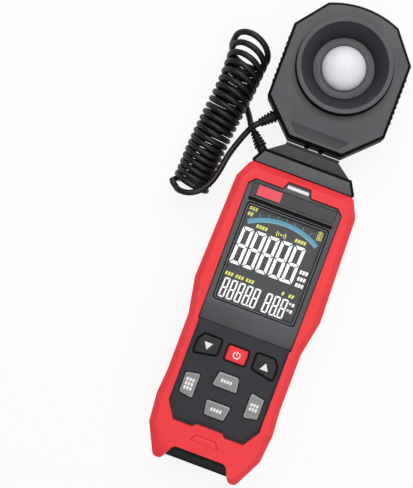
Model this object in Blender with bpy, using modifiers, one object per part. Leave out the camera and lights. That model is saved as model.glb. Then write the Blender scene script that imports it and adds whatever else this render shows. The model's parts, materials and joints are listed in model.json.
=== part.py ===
"""Handheld light meter: a body with display and keys, a plug-in sensor head and a curly cord.

The meter lies on its back: +Z points out of its face, +Y runs from the body's foot to the sensor head and
+X to the right of the face. Stations along the meter are measured from the foot, and the datum empty puts
the origin on the floor under the middle of the whole meter. All sizes are in metres.
"""

import math

import bmesh
import bpy
import numpy as np
from mathutils import Matrix, Vector

# Clearances
SEAT_GAP = 0.0003
KEY_GAP = 0.00035
SOCKET_GAP = 0.0004
DOOR_GAP = 0.0004
SCREW_GAP = 0.0003

# Case: the two shells that carry everything
PANEL_HALF = 0.02285
PANEL_LIP = 0.00235
SHELL_DEPTH = 0.0295
SPLIT_HEIGHT = 0.016
WALL = 0.002
CASE_FOOT = 0.0014
CASE_FOOT_HALF = 0.0161
CASE_FOOT_RISE = 0.0177
CASE_FOOT_CHAMFER = 0.006
CASE_END_INSET = 0.0026
CASE_END_TAPER = 0.010

# Stations along the face
FLANGE_FOOT = 0.0076
LOWER_BAND = 0.0115
KEYPAD_LENGTH = 0.048
DISPLAY_MARGIN = 0.0108
LENS_LENGTH = 0.0471
LABEL_STEP = 0.0032
LABEL_LENGTH = 0.0063
PANEL_MARGIN = 0.0015
UPPER_BAND = 0.0073

# Bumper
BUMPER_PROUD = 0.0035
BUMPER_CHAMFER = 0.003
BUMPER_GAP_CHAMFER = 0.0005
BUMPER_BACK_CHAMFER = 0.002
BUMPER_WAIST_WALL = 0.0024
BUMPER_HEEL_WALL = 0.0033
BUMPER_WIDE_WALL = 0.0056
BUMPER_SHOULDER_WALL = 0.0040
BUMPER_END_WALL = 0.0024
BUMPER_ROUNDING = 0.003
HEEL_SHARE = 0.18
WAIST_SHARE = 0.42
WIDE_SHARE = 0.13
HORN_INNER_HALF = 0.0164
HORN_OUTER_HALF = 0.0202
HORN_RISE = 0.0142
HORN_HALF = 0.0272
FLANGE_FOOT_HALF = 0.0126
NOTCH_HALF = 0.0064
NOTCH_BASE_HALF = 0.0078
NOTCH_RISE = 0.0016
KEYPAD_INSET = 0.00065
KEYPAD_FOOT_HALF = 0.0171
KEYPAD_CORNER_RISE = 0.0079
PANEL_CORNER = 0.0028
TAB_BASE_HALF = 0.0068
TAB_HALF = 0.0055
TAB_RISE = 0.0037

# Display
BEZEL_THICKNESS = 0.002
RAMP_LENGTH = 0.0072
RAMP_DROP = 0.0016
LENS_HALF = 0.01985
LENS_THICKNESS = 0.0017
LENS_CORNER = 0.0015
VIEW_BORDER = 0.0012
GROOVE_WIDTH = 0.0017
GROOVE_DEPTH = 0.0006
LABEL_HALF = 0.0204
LABEL_DEPTH = 0.0008
LABEL_THICKNESS = 0.0004
WINDOW_HALF = 0.0053
WINDOW_LENGTH = 0.0018
LCD_BORDER = 0.0009
LCD_THICKNESS = 0.0026
BACKLIGHT_THICKNESS = 0.002

# Keys
KEY_HEIGHT = 0.0015
KEY_TRAVEL = 0.0008
KEY_FLANGE = 0.001
KEY_FLANGE_THICKNESS = 0.0019
KEY_CORNER = 0.0009
KEY_EDGE = 0.0004
POWER_HALF = 0.00475
POWER_LENGTH = 0.0069
ARROW_INNER = 0.0087
ARROW_OUTER = 0.0193
ARROW_LENGTH = 0.0094
ARROW_SLOPE = 0.0020
ARROW_CORNER = 0.0030
ARROW_CORNER_RUN = 0.00225
MIDDLE_NARROW_HALF = 0.0047
MIDDLE_WIDE_HALF = 0.0059
MIDDLE_LENGTH = 0.0069
SIDE_INNER = 0.0126
SIDE_OUTER = 0.0191
SIDE_LENGTH = 0.0118
SIDE_SLOPE = 0.0012
TOP_ROW = 0.0375
HOLD_ROW = 0.02445
SIDE_ROW = 0.0177
MODE_ROW = 0.0104
MAT_SIDE = 0.0011
MAT_MARGIN = 0.0045

# Boards, screws and battery bay
PCB_SIDE_GAP = 0.0017
PCB_THICKNESS = 0.0016
PCB_FOOT_MARGIN = 0.0045
PCB_TOP_MARGIN = 0.0036
BOSS_RADIUS = 0.0022
BOSS_INSET = 0.0035
BOSS_STEP = 0.0041
POST_RADIUS = 0.003
POST_FOOT_INSET = 0.0021
POST_FOOT_RISE = 0.0072
POST_TOP_INSET = 0.0057
POST_TOP_DROP = 0.0067
SCREW_RADIUS = 0.0012
SCREW_HEAD_RADIUS = 0.0023
SCREW_HEAD = 0.0015
SCREW_SUNK = 0.0024
SCREW_BITE = 0.008
PCB_SCREW_BITE = 0.003
CELL_RADIUS = 0.00525
CELL_LENGTH = 0.0445
CELL_NUB = 0.001
CELL_NUB_RADIUS = 0.0019
CELL_PITCH = 0.0109
CONTACT_THICKNESS = 0.0005
SPRING_LENGTH = 0.0027
SPRING_RADIUS = 0.0032
SPRING_TAPER = 0.6
BUMP_LENGTH = 0.0006
BAY_WALL = 0.0018
BAY_FOOT = 0.0173
DOOR_RECESS = 0.0005
DOOR_THICKNESS = 0.0021
DOOR_LEDGE = 0.0012
PIN_RADIUS = 0.0007
PIN_LENGTH = 0.0008
BAY_ROOF = 0.0011

# Collar and dock
COLLAR_BACK = 0.001
COLLAR_FRONT = 0.031
COLLAR_TAPER = 0.0035
COLLAR_RISE = 0.0070
COLLAR_LAND = 0.001
COLLAR_CHAMFER = 0.0014
COLLAR_WALL = 0.003
SHOULDER_HALF = 0.0132
SHOULDER_RISE = 0.0056
SHOULDER_FRONT = 0.025
SHOULDER_BACK = 0.003
DOCK_PLATE = 0.0012
DOCK_BACK = 0.007
DOCK_FRONT = 0.023
NECK_GAP = 0.0018
TONGUE_HALF = 0.0045
TONGUE_SLOT_HALF = 0.0025
TONGUE_DEPTH = 0.006
TONGUE_MID = 0.015
TONGUE_REACH = 0.0075
ANCHOR_HALF = 0.007
ANCHOR_LENGTH = 0.005

# Sensor head
HEAD_BACK = 0.006
HEAD_SPLIT = 0.0132
HEAD_FACE = 0.026
HEAD_WALL = 0.0018
HEAD_HALF = 0.0290
HEAD_FOOT_HALF = 0.0135
HEAD_FOOT_RISE = 0.0152
HEAD_SIDE = 0.0356
HEAD_UPPER_RISE = 0.0145
HEAD_TOP_HALF = 0.0174
HEAD_CROWN = 0.0036
HEAD_CHAMFER = 0.0014
HEAD_BACK_CHAMFER = 0.002
HEAD_POST_RADIUS = 0.0028
HEAD_POST_LOW = (0.0215, 0.0201)
HEAD_POST_HIGH = (0.0162, 0.0590)
HEAD_SCREW_BITE = 0.008
DOME_RISE = 0.0395
RING_HEIGHT = 0.005
RING_OUTER = 0.0223
RING_BASE = 0.0230
RING_INNER = 0.02025
FUNNEL_RADIUS = 0.01475
FUNNEL_FLOOR = 0.022
RETAINER_THICKNESS = 0.0017
SEAT_THICKNESS = 0.0025
SEAT_BORE = 0.0085
DOME_RADIUS = 0.0105
DOME_HEIGHT = 0.0061
DOME_WALL = 0.0016
FILTER_THICKNESS = 0.001
PHOTODIODE_RADIUS = 0.0045
PHOTODIODE_THICKNESS = 0.0011
SENSOR_PCB_RADIUS = 0.0165

# Cord and its boots
CORD_DIAMETER = 0.0025
BOOT_LENGTH = 0.0130
BOOT_SHANK = 0.005
BOOT_SHANK_RADIUS = 0.0024
BOOT_BASE_RADIUS = 0.0030
BOOT_TIP_RADIUS = 0.0021
BOOT_CORE = 0.78
BOOT_RIBS = 5
BOOT_RIB_SHARE = 0.55
BOOT_RIB_FALL = 0.00008
BODY_BOOT_INSET = 0.0012
BODY_BOOT_DROP = 0.0038
BODY_BOOT_HEIGHT = 0.011
BODY_BOOT_AIM = (-0.70, 0.70, -0.14)
HEAD_BOOT_HEIGHT = 0.017
HEAD_BOOT_SHARE = 0.56
HEAD_BOOT_INSIDE = 0.0045
CURL_RADIUS = 0.0079
CURL_TURNS = 21.0
CURL_POINTS = 9
CURL_SPREAD = 0.07
CURL_FLARE = 0.16
CURL_LEAN_FOOT = -12.0
CURL_LEAN_TOP = 40.0
CURL_SKEW = 7.0
CURL_START = 180.0
CORD_DROP = 0.0038

# Cord routes, with stations from a line a little below the shoulder's top
CURL_AXIS = (
    (-0.0492, -0.0296, 0.0095),
    (-0.0488, -0.0217, 0.0095),
    (-0.0482, -0.0074, 0.0096),
    (-0.0466, 0.0079, 0.0114),
    (-0.0450, 0.0209, 0.0124),
    (-0.0444, 0.0339, 0.0128),
    (-0.0444, 0.0424, 0.0134),
)
BODY_RUN = (
    (-0.0336, 0.0104, 0.0066),
    (-0.0372, 0.0155, 0.0034),
    (-0.0420, 0.0219, 0.0018),
    (-0.0470, 0.0285, 0.0018),
    (-0.0505, 0.0333, 0.0025),
    (-0.0525, 0.0374, 0.0052),
)
HEAD_RUN = (
    (-0.0561, -0.0315, 0.0140),
    (-0.0528, -0.0334, 0.0174),
    (-0.0476, -0.0329, 0.0188),
    (-0.0430, -0.0297, 0.0188),
    (-0.0398, -0.0244, 0.0176),
    (-0.0382, -0.0179, 0.0156),
    (-0.0369, -0.0094, 0.0144),
    (-0.0343, -0.0009, 0.0142),
    (-0.0316, 0.0057, 0.0154),
)

# Mesh fineness, numbers of sides and how far corners may go
ROUND_SIDES = 24
RING_SIDES = 48
DOME_SIDES = 32
ARC_STEPS = 3
ROUTE_STEPS = 40
CHORD_SHARE = 0.2
CORNER_LIMIT = 0.45
MITRE_LIMIT = 0.2
WELD = 0.00001
PASS = 0.001
SIDEWAYS = Matrix(((0, 0, 1), (1, 0, 0), (0, 1, 0))).to_4x4()

# Stations worked out from the sizes above
KEYPAD_FOOT = FLANGE_FOOT + LOWER_BAND
KEYPAD_TOP = KEYPAD_FOOT + KEYPAD_LENGTH
LENS_FOOT = KEYPAD_TOP + DISPLAY_MARGIN
LENS_TOP = LENS_FOOT + LENS_LENGTH
LABEL_FOOT = LENS_TOP + LABEL_STEP
PANEL_TOP = LABEL_FOOT + LABEL_LENGTH + PANEL_MARGIN
BODY_TOP = PANEL_TOP + UPPER_BAND
CASE_HALF = PANEL_HALF + PANEL_LIP
CASE_END_HALF = CASE_HALF - CASE_END_INSET
COLLAR_HALF = CASE_HALF - SEAT_GAP
COLLAR_TOP_HALF = COLLAR_HALF - COLLAR_TAPER
PCB_HALF = CASE_HALF - WALL - PCB_SIDE_GAP
MAT_HALF = PCB_HALF - MAT_SIDE
BOSS_X = PCB_HALF - BOSS_INSET
POST_FOOT_X = CASE_FOOT_HALF - POST_FOOT_INSET
POST_TOP_X = CASE_HALF - POST_TOP_INSET
COLLAR_FOOT = BODY_TOP + SEAT_GAP
COLLAR_TOP = COLLAR_FOOT + COLLAR_RISE
SHOULDER_TOP = COLLAR_TOP + SHOULDER_RISE
DOCK_FOOT = SHOULDER_TOP + SEAT_GAP
DOCK_TOP = DOCK_FOOT + DOCK_PLATE
HEAD_FOOT = DOCK_TOP + NECK_GAP
HEAD_SIDE_FOOT = HEAD_FOOT + HEAD_FOOT_RISE
HEAD_SIDE_TOP = HEAD_SIDE_FOOT + HEAD_SIDE
HEAD_CROWN_FOOT = HEAD_SIDE_TOP + HEAD_UPPER_RISE
METER_LENGTH = HEAD_CROWN_FOOT + HEAD_CROWN
CORD_STATION = SHOULDER_TOP - CORD_DROP
BODY_BOOT_ROOT = (BODY_BOOT_INSET - COLLAR_TOP_HALF, CORD_STATION - BODY_BOOT_DROP, BODY_BOOT_HEIGHT)
DOME_STATION = HEAD_FOOT + DOME_RISE

# Heights worked out from the sizes above
INNER_FACE = SHELL_DEPTH - WALL
LCD_TOP = INNER_FACE - SEAT_GAP
LCD_BOTTOM = LCD_TOP - LCD_THICKNESS
BACKLIGHT_TOP = LCD_BOTTOM - SEAT_GAP
BACKLIGHT_BOTTOM = BACKLIGHT_TOP - BACKLIGHT_THICKNESS
PCB_TOP = BACKLIGHT_BOTTOM - SEAT_GAP
PCB_BOTTOM = PCB_TOP - PCB_THICKNESS
KEY_FLANGE_TOP = INNER_FACE - SEAT_GAP
KEY_BOTTOM = KEY_FLANGE_TOP - KEY_FLANGE_THICKNESS
BEZEL_BOTTOM = SHELL_DEPTH + SEAT_GAP
BEZEL_TOP = BEZEL_BOTTOM + BEZEL_THICKNESS
DOOR_TOP = DOOR_RECESS + DOOR_THICKNESS
BAY_LENGTH = CELL_LENGTH + SPRING_LENGTH + BUMP_LENGTH + 2 * CONTACT_THICKNESS + 4 * SEAT_GAP
BAY_TOP = BAY_FOOT + BAY_LENGTH
BAY_HALF = CELL_PITCH + CELL_RADIUS + 2 * SEAT_GAP
DOOR_HALF = BAY_HALF + DOOR_LEDGE - DOOR_GAP
DOOR_AXIS = (0, BAY_TOP + DOOR_LEDGE - DOOR_GAP - DOOR_THICKNESS / 2, DOOR_RECESS + DOOR_THICKNESS / 2)
CELL_HEIGHT = DOOR_TOP + DOOR_GAP + CELL_RADIUS
BAY_CEILING = CELL_HEIGHT + CELL_RADIUS + 2 * SEAT_GAP
RING_TOP = HEAD_FACE + RING_HEIGHT
SEAT_TOP = FUNNEL_FLOOR - RETAINER_THICKNESS - SEAT_GAP
SEAT_BOTTOM = SEAT_TOP - SEAT_THICKNESS


def clear_scene():
    for item in list(bpy.data.objects):
        bpy.data.objects.remove(item)


def new_collection(name):
    made = bpy.data.collections.new(name)
    bpy.context.scene.collection.children.link(made)
    return made


def new_empty(name, place, parent=None):
    empty = bpy.data.objects.new(name, None)
    empty.location = place
    empty.parent = parent
    PARTS.objects.link(empty)
    return empty


def linear(value):
    value = value / 255
    return value / 12.92 if value <= 0.04045 else ((value + 0.055) / 1.055) ** 2.4


def paint(name, red, green, blue, roughness, metallic=0.0):
    """A material from an sRGB colour."""
    made = bpy.data.materials.new(name)
    made.use_nodes = True
    shader = made.node_tree.nodes["Principled BSDF"]
    shader.inputs["Base Color"].default_value = (linear(red), linear(green), linear(blue), 1)
    shader.inputs["Roughness"].default_value = roughness
    shader.inputs["Metallic"].default_value = metallic
    return made


def place(name, data, material=None, parent=None, at=(0, 0, 0)):
    """A finished sub-part, or a cutter if it has no material."""
    item = bpy.data.objects.new(name, data)
    item.parent = parent or DATUM
    item.location = at
    if material:
        data.materials.append(material)
        PARTS.objects.link(item)
    else:
        item.hide_render = True
        item.display_type = "WIRE"
        CUTTERS.objects.link(item)
    return item


def mirrored(half):
    """A closed outline from its right half, listed from the foot up."""
    return half + [(-x, y) for x, y in reversed(half) if x > WELD]


def box_outline(half, foot, top):
    return [(-half, foot), (half, foot), (half, top), (-half, top)]


def rounded(outline, radius):
    """The outline with each corner turned into an arc, as wide as its edges allow."""
    result = []
    count = len(outline)
    for index in range(count):
        here = Vector(outline[index])
        back = Vector(outline[index - 1]) - here
        ahead = Vector(outline[(index + 1) % count]) - here
        half_angle = back.angle(ahead) / 2
        reach = radius / math.tan(half_angle)
        reach = min(reach, CORNER_LIMIT * back.length, CORNER_LIMIT * ahead.length)
        start = here + back.normalized() * reach
        end = here + ahead.normalized() * reach
        for step in range(ARC_STEPS + 1):
            share = step / ARC_STEPS
            bend = 2 * share * (1 - share)
            result.append(tuple(start * (1 - share) ** 2 + here * bend + end * share**2))
    return result


def offset(outline, distance):
    """A counterclockwise outline moved outwards by a distance, or inwards if it is negative."""
    result = []
    count = len(outline)
    for index in range(count):
        here = Vector(outline[index])
        first = (here - Vector(outline[index - 1])).normalized()
        second = (Vector(outline[(index + 1) % count]) - here).normalized()
        normal = Vector((first.y + second.y, -first.x - second.x)).normalized()
        scale = distance / max(MITRE_LIMIT, normal.dot(Vector((second.y, -second.x))))
        result.append(tuple(here + normal * scale))
    return result


def inset(outline, distances):
    """A counterclockwise outline with each edge moved inwards by its own distance."""
    moved = []
    for index, distance in enumerate(distances):
        start = Vector(outline[index])
        way = (Vector(outline[(index + 1) % len(outline)]) - start).normalized()
        moved.append((start + Vector((-way.y, way.x)) * distance, way))
    result = []
    for index, (start, way) in enumerate(moved):
        before, arriving = moved[index - 1]
        reach = (start - before).cross(way) / arriving.cross(way)
        result.append(tuple(before + arriving * reach))
    return result


def layered(name, layers):
    """A solid through outlines of equal length, given from the bottom up with their heights."""
    count = len(layers[0][0])
    places = [(x, y, height) for outline, height in layers for x, y in outline]
    top = len(places) - count
    faces = [tuple(reversed(range(count))), tuple(range(top, len(places)))]
    for base in range(0, top, count):
        for here in range(count):
            ahead = (here + 1) % count
            faces.append((base + here, base + ahead, base + count + ahead, base + count + here))
    mesh = bpy.data.meshes.new(name)
    mesh.from_pydata(places, [], faces)
    return mesh


def prism(name, outline, bottom, top):
    """An outline extruded between two heights, as one welded mesh."""
    curve = bpy.data.curves.new(name, "CURVE")
    curve.dimensions = "2D"
    curve.fill_mode = "BOTH"
    curve.extrude = (top - bottom) / 2
    spline = curve.splines.new("POLY")
    spline.points.add(len(outline) - 1)
    for point, (x, y) in zip(spline.points, outline, strict=True):
        point.co = (x, y, 0, 1)
    spline.use_cyclic_u = True
    holder = bpy.data.objects.new(name, curve)
    bpy.context.scene.collection.objects.link(holder)
    graph = bpy.context.evaluated_depsgraph_get()
    mesh = bpy.data.meshes.new_from_object(holder.evaluated_get(graph))
    mesh.name = name
    bpy.data.objects.remove(holder)
    bpy.data.curves.remove(curve)
    work = bmesh.new()
    work.from_mesh(mesh)
    bmesh.ops.remove_doubles(work, verts=work.verts, dist=WELD)
    bmesh.ops.translate(work, verts=work.verts, vec=(0, 0, (bottom + top) / 2))
    bmesh.ops.dissolve_limit(work, angle_limit=math.radians(0.5), verts=work.verts, edges=work.edges)
    bmesh.ops.recalc_face_normals(work, faces=work.faces)
    work.to_mesh(mesh)
    work.free()
    return mesh


def bevel(mesh, wanted, width):
    """Cuts a flat along the edges whose two ends both answer to wanted(place)."""
    work = bmesh.new()
    work.from_mesh(mesh)
    edges = [e for e in work.edges if all(wanted(v.co) for v in e.verts)]
    bmesh.ops.bevel(
        work, geom=edges, offset=width, offset_type="OFFSET", segments=1, profile=0.5,
        affect="EDGES", clamp_overlap=True,
    )
    work.to_mesh(mesh)
    work.free()
    return mesh


def at_height(height):
    return lambda co: abs(co.z - height) < WELD


def chamfered(name, outline, bottom, top, front=0.0, back=0.0):
    mesh = prism(name, outline, bottom, top)
    if front:
        bevel(mesh, at_height(top), front)
    if back:
        bevel(mesh, at_height(bottom), back)
    return mesh


def cylinder(name, radius, bottom, top, sides=ROUND_SIDES):
    work = bmesh.new()
    bmesh.ops.create_cone(
        work, cap_ends=True, segments=sides, radius1=radius, radius2=radius, depth=top - bottom
    )
    bmesh.ops.translate(work, verts=work.verts, vec=(0, 0, (bottom + top) / 2))
    mesh = bpy.data.meshes.new(name)
    work.to_mesh(mesh)
    work.free()
    return mesh


def profile_mesh(name, profile, closed):
    """A turned shape's profile, listed down its outer side."""
    count = len(profile)
    edges = [(i, i + 1) for i in range(count - 1)]
    if closed:
        edges.append((count - 1, 0))
    mesh = bpy.data.meshes.new(name)
    mesh.from_pydata([(r, 0, z) for r, z in profile], edges, [])
    return mesh


def turn(item, sides=ROUND_SIDES):
    """Turns an object's profile about its own Z axis."""
    screw = item.modifiers.new("Turn", "SCREW")
    screw.axis = "Z"
    screw.angle = 2 * math.pi
    screw.steps = sides
    screw.render_steps = sides
    screw.use_merge_vertices = True
    screw.merge_threshold = WELD
    return item


def combine(target, other, operation):
    boolean = target.modifiers.new(other.name, "BOOLEAN")
    boolean.operation = operation
    boolean.solver = "EXACT"
    boolean.object = other


def cut(target, cutter):
    combine(target, cutter, "DIFFERENCE")


def join(target, piece):
    combine(target, piece, "UNION")


def cut_prism(target, name, outline, bottom, top):
    cut(target, place(name, prism(name, outline, bottom, top)))


def join_prism(target, name, outline, bottom, top):
    join(target, place(name, prism(name, outline, bottom, top)))


def case_outline():
    return mirrored(
        [
            (CASE_FOOT_HALF, CASE_FOOT),
            (CASE_HALF, CASE_FOOT + CASE_FOOT_RISE),
            (CASE_HALF, BODY_TOP - CASE_END_TAPER),
            (CASE_END_HALF, BODY_TOP),
        ]
    )


def bumper_outline():
    waist = CASE_HALF + BUMPER_WAIST_WALL
    half = [
        (FLANGE_FOOT_HALF, FLANGE_FOOT),
        (HORN_INNER_HALF, 0),
        (HORN_OUTER_HALF, 0),
        (HORN_HALF, HORN_RISE),
        (CASE_HALF + BUMPER_HEEL_WALL, KEYPAD_FOOT + HEEL_SHARE * KEYPAD_LENGTH),
        (waist, KEYPAD_FOOT + WAIST_SHARE * KEYPAD_LENGTH),
        (waist, KEYPAD_TOP),
        (CASE_HALF + BUMPER_WIDE_WALL, LENS_FOOT + WIDE_SHARE * LENS_LENGTH),
        (CASE_HALF + BUMPER_SHOULDER_WALL, LABEL_FOOT + LABEL_LENGTH),
        (CASE_END_HALF + BUMPER_END_WALL, BODY_TOP),
    ]
    return mirrored(half)


def panel_outline():
    """The opening in the bumper's front, which the bezel and the keypad floor fill."""
    keypad_half = PANEL_HALF - KEYPAD_INSET
    return mirrored(
        [
            (0, KEYPAD_FOOT + NOTCH_RISE),
            (NOTCH_HALF, KEYPAD_FOOT + NOTCH_RISE),
            (NOTCH_BASE_HALF, KEYPAD_FOOT),
            (KEYPAD_FOOT_HALF, KEYPAD_FOOT),
            (keypad_half, KEYPAD_FOOT + KEYPAD_CORNER_RISE),
            (keypad_half, KEYPAD_TOP - KEYPAD_INSET),
            (PANEL_HALF, KEYPAD_TOP),
            (PANEL_HALF, PANEL_TOP - PANEL_CORNER),
            (PANEL_HALF - PANEL_CORNER, PANEL_TOP),
            (TAB_BASE_HALF, PANEL_TOP),
            (TAB_HALF, PANEL_TOP + TAB_RISE),
            (0, PANEL_TOP + TAB_RISE),
        ]
    )


def bezel_outline():
    foot = KEYPAD_TOP + SEAT_GAP
    half = PANEL_HALF - SEAT_GAP
    top = PANEL_TOP - SEAT_GAP
    return mirrored(
        [
            (half, foot),
            (half, top - PANEL_CORNER),
            (half - PANEL_CORNER, top),
            (TAB_BASE_HALF - SEAT_GAP, top),
            (TAB_HALF - SEAT_GAP, top + TAB_RISE),
        ]
    )


def head_outline():
    """The sensor head seen from its face; its top edge is an arc through three points."""
    radius = (HEAD_TOP_HALF**2 + HEAD_CROWN**2) / (2 * HEAD_CROWN)
    span = math.asin(HEAD_TOP_HALF / radius)
    steps = 2 * ARC_STEPS
    crown = [
        (radius * math.sin(span * i / steps), METER_LENGTH - radius * (1 - math.cos(span * i / steps)))
        for i in range(steps, -1, -1)
    ]
    return mirrored(
        [
            (HEAD_FOOT_HALF, HEAD_FOOT),
            (HEAD_HALF, HEAD_SIDE_FOOT),
            (HEAD_HALF, HEAD_SIDE_TOP),
        ]
        + crown
    )


def key_outlines():
    """Each key's cap, seen from its face."""
    row = KEYPAD_FOOT + TOP_ROW
    arrow_top = row + ARROW_LENGTH / 2 - ARROW_SLOPE / 4
    arrow_foot = arrow_top - ARROW_LENGTH
    up = [
        (ARROW_INNER, arrow_foot + ARROW_SLOPE),
        (ARROW_OUTER, arrow_foot),
        (ARROW_OUTER, arrow_top - ARROW_CORNER),
        (ARROW_OUTER - ARROW_CORNER_RUN, arrow_top),
        (ARROW_INNER, arrow_top),
    ]
    side = KEYPAD_FOOT + SIDE_ROW
    unit = [
        (SIDE_INNER, side - SIDE_LENGTH / 2),
        (SIDE_OUTER, side - SIDE_LENGTH / 2 + SIDE_SLOPE),
        (SIDE_OUTER, side + SIDE_LENGTH / 2 - SIDE_SLOPE),
        (SIDE_INNER, side + SIDE_LENGTH / 2),
    ]
    hold = KEYPAD_FOOT + HOLD_ROW
    mode = KEYPAD_FOOT + MODE_ROW
    half = MIDDLE_LENGTH / 2
    return {
        "power_key": box_outline(POWER_HALF, row - POWER_LENGTH / 2, row + POWER_LENGTH / 2),
        "down_key": [(-x, y) for x, y in reversed(up)],
        "up_key": up,
        "hold_key": mirrored([(MIDDLE_WIDE_HALF, hold - half), (MIDDLE_NARROW_HALF, hold + half)]),
        "mode_key": mirrored([(MIDDLE_NARROW_HALF, mode - half), (MIDDLE_WIDE_HALF, mode + half)]),
        "max_min_key": [(-x, y) for x, y in reversed(unit)],
        "unit_key": unit,
    }


def case_posts():
    """Where the case screws stand: two at the foot and two at the top."""
    low = CASE_FOOT + POST_FOOT_RISE
    high = BODY_TOP - POST_TOP_DROP
    return [(-POST_FOOT_X, low), (POST_FOOT_X, low), (-POST_TOP_X, high), (POST_TOP_X, high)]


def board_bosses():
    low = LENS_FOOT - LCD_BORDER - BOSS_STEP
    high = LENS_TOP + LCD_BORDER + BOSS_STEP - BOSS_RADIUS / 2
    return [(-BOSS_X, low), (BOSS_X, low), (-BOSS_X, high), (BOSS_X, high)]


def head_posts():
    spots = (HEAD_POST_LOW, HEAD_POST_HIGH)
    return [(side * x, HEAD_FOOT + rise) for x, rise in spots for side in (-1, 1)]


def make_bumper():
    """The sleeve round the case; its front edge is cut back less in the gap between the horns."""
    outline = bumper_outline()
    top = SHELL_DEPTH + BUMPER_PROUD
    in_gap = [abs(x) < HORN_INNER_HALF + WELD for x, _ in outline]
    front = [
        BUMPER_GAP_CHAMFER if here and ahead else BUMPER_CHAMFER
        for here, ahead in zip(in_gap, [*in_gap[1:], in_gap[0]], strict=True)
    ]
    layers = (
        (offset(outline, -BUMPER_BACK_CHAMFER), 0),
        (outline, BUMPER_BACK_CHAMFER),
        (outline, top - BUMPER_CHAMFER),
        (inset(outline, front), top),
    )
    layers = [(rounded(corners, BUMPER_ROUNDING), height) for corners, height in layers]
    bumper = place("bumper", layered("bumper", layers), RED)
    room = offset(case_outline(), SEAT_GAP)
    room = [(x, y + UPPER_BAND if y > BODY_TOP else y) for x, y in room]
    cut_prism(bumper, "case_room", room, -PASS, BEZEL_BOTTOM)
    cut_prism(bumper, "panel_opening", panel_outline(), INNER_FACE, top + PASS)


def make_front_shell():
    bottom = SPLIT_HEIGHT + SEAT_GAP / 2

    def foot_edge(station, height):
        return lambda co: abs(co.y - station) < WELD and abs(co.z - height) < WELD

    mesh = prism("front_shell", case_outline(), bottom, SHELL_DEPTH)
    bevel(mesh, foot_edge(CASE_FOOT, SHELL_DEPTH), CASE_FOOT_CHAMFER)
    shell = place("front_shell", mesh, DARK)
    inside = prism("front_room", offset(case_outline(), -WALL), bottom - PASS, INNER_FACE)
    bevel(inside, foot_edge(CASE_FOOT + WALL, INNER_FACE), CASE_FOOT_CHAMFER - WALL * (2 - math.sqrt(2)))
    cut(shell, place("front_room", inside))
    view = box_outline(LENS_HALF - VIEW_BORDER, LENS_FOOT + VIEW_BORDER, LENS_TOP - VIEW_BORDER)
    cut_prism(shell, "view_opening", view, INNER_FACE - PASS, SHELL_DEPTH + PASS)
    for name, outline in key_outlines().items():
        hole = rounded(offset(outline, KEY_GAP), KEY_CORNER + KEY_GAP)
        cut_prism(shell, name + "_hole", hole, INNER_FACE - PASS, SHELL_DEPTH + PASS)
    for index, (x, y) in enumerate(case_posts()):
        post = cylinder("front_post", POST_RADIUS, bottom, INNER_FACE + WALL / 4)
        join(shell, place(f"front_post_{index}", post, at=(x, y, 0)))
        tip = SPLIT_HEIGHT + SCREW_BITE + SEAT_GAP
        pilot = cylinder("front_pilot", SCREW_RADIUS + SCREW_GAP, bottom - PASS, tip)
        cut(shell, place(f"front_pilot_{index}", pilot, at=(x, y, 0)))
    for index, (x, y) in enumerate(board_bosses()):
        boss = cylinder("board_boss", BOSS_RADIUS, PCB_TOP + SEAT_GAP, INNER_FACE + WALL / 4)
        join(shell, place(f"board_boss_{index}", boss, at=(x, y, 0)))
        tip = PCB_TOP + PCB_SCREW_BITE + SEAT_GAP
        pilot = cylinder("board_pilot", SCREW_RADIUS + SCREW_GAP, PCB_TOP - PASS, tip)
        cut(shell, place(f"board_pilot_{index}", pilot, at=(x, y, 0)))


def make_rear_shell():
    top = SPLIT_HEIGHT - SEAT_GAP / 2
    shell = place("rear_shell", prism("rear_shell", case_outline(), 0, top), BLACK)
    cut_prism(shell, "rear_room", offset(case_outline(), -WALL), WALL, top + PASS)
    bay = box_outline(BAY_HALF + BAY_WALL, BAY_FOOT - BAY_WALL, BAY_TOP + BAY_WALL)
    join_prism(shell, "bay_box", bay, WALL / 2, BAY_CEILING + BAY_ROOF)
    for index, (x, y) in enumerate(case_posts()):
        post = cylinder("rear_post", POST_RADIUS, WALL / 2, top)
        join(shell, place(f"rear_post_{index}", post, at=(x, y, 0)))
    cut_prism(shell, "bay_room", box_outline(BAY_HALF, BAY_FOOT, BAY_TOP), -PASS, BAY_CEILING)
    opening = offset(box_outline(BAY_HALF, BAY_FOOT, BAY_TOP), DOOR_LEDGE)
    cut_prism(shell, "door_opening", opening, -PASS, DOOR_TOP + SEAT_GAP)
    pin_reach = DOOR_HALF + PIN_LENGTH + SEAT_GAP
    cut(shell, cross_pin("door_pin_bores", PIN_RADIUS + SEAT_GAP, pin_reach, at=DOOR_AXIS))
    for index, (x, y) in enumerate(case_posts()):
        sunk = SCREW_SUNK + SCREW_HEAD + SEAT_GAP
        bore = cylinder("rear_bore", SCREW_RADIUS + SCREW_GAP, -PASS, top + PASS)
        cut(shell, place(f"rear_bore_{index}", bore, at=(x, y, 0)))
        sink = cylinder("rear_sink", SCREW_HEAD_RADIUS + SCREW_GAP, -PASS, sunk)
        cut(shell, place(f"rear_sink_{index}", sink, at=(x, y, 0)))


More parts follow.
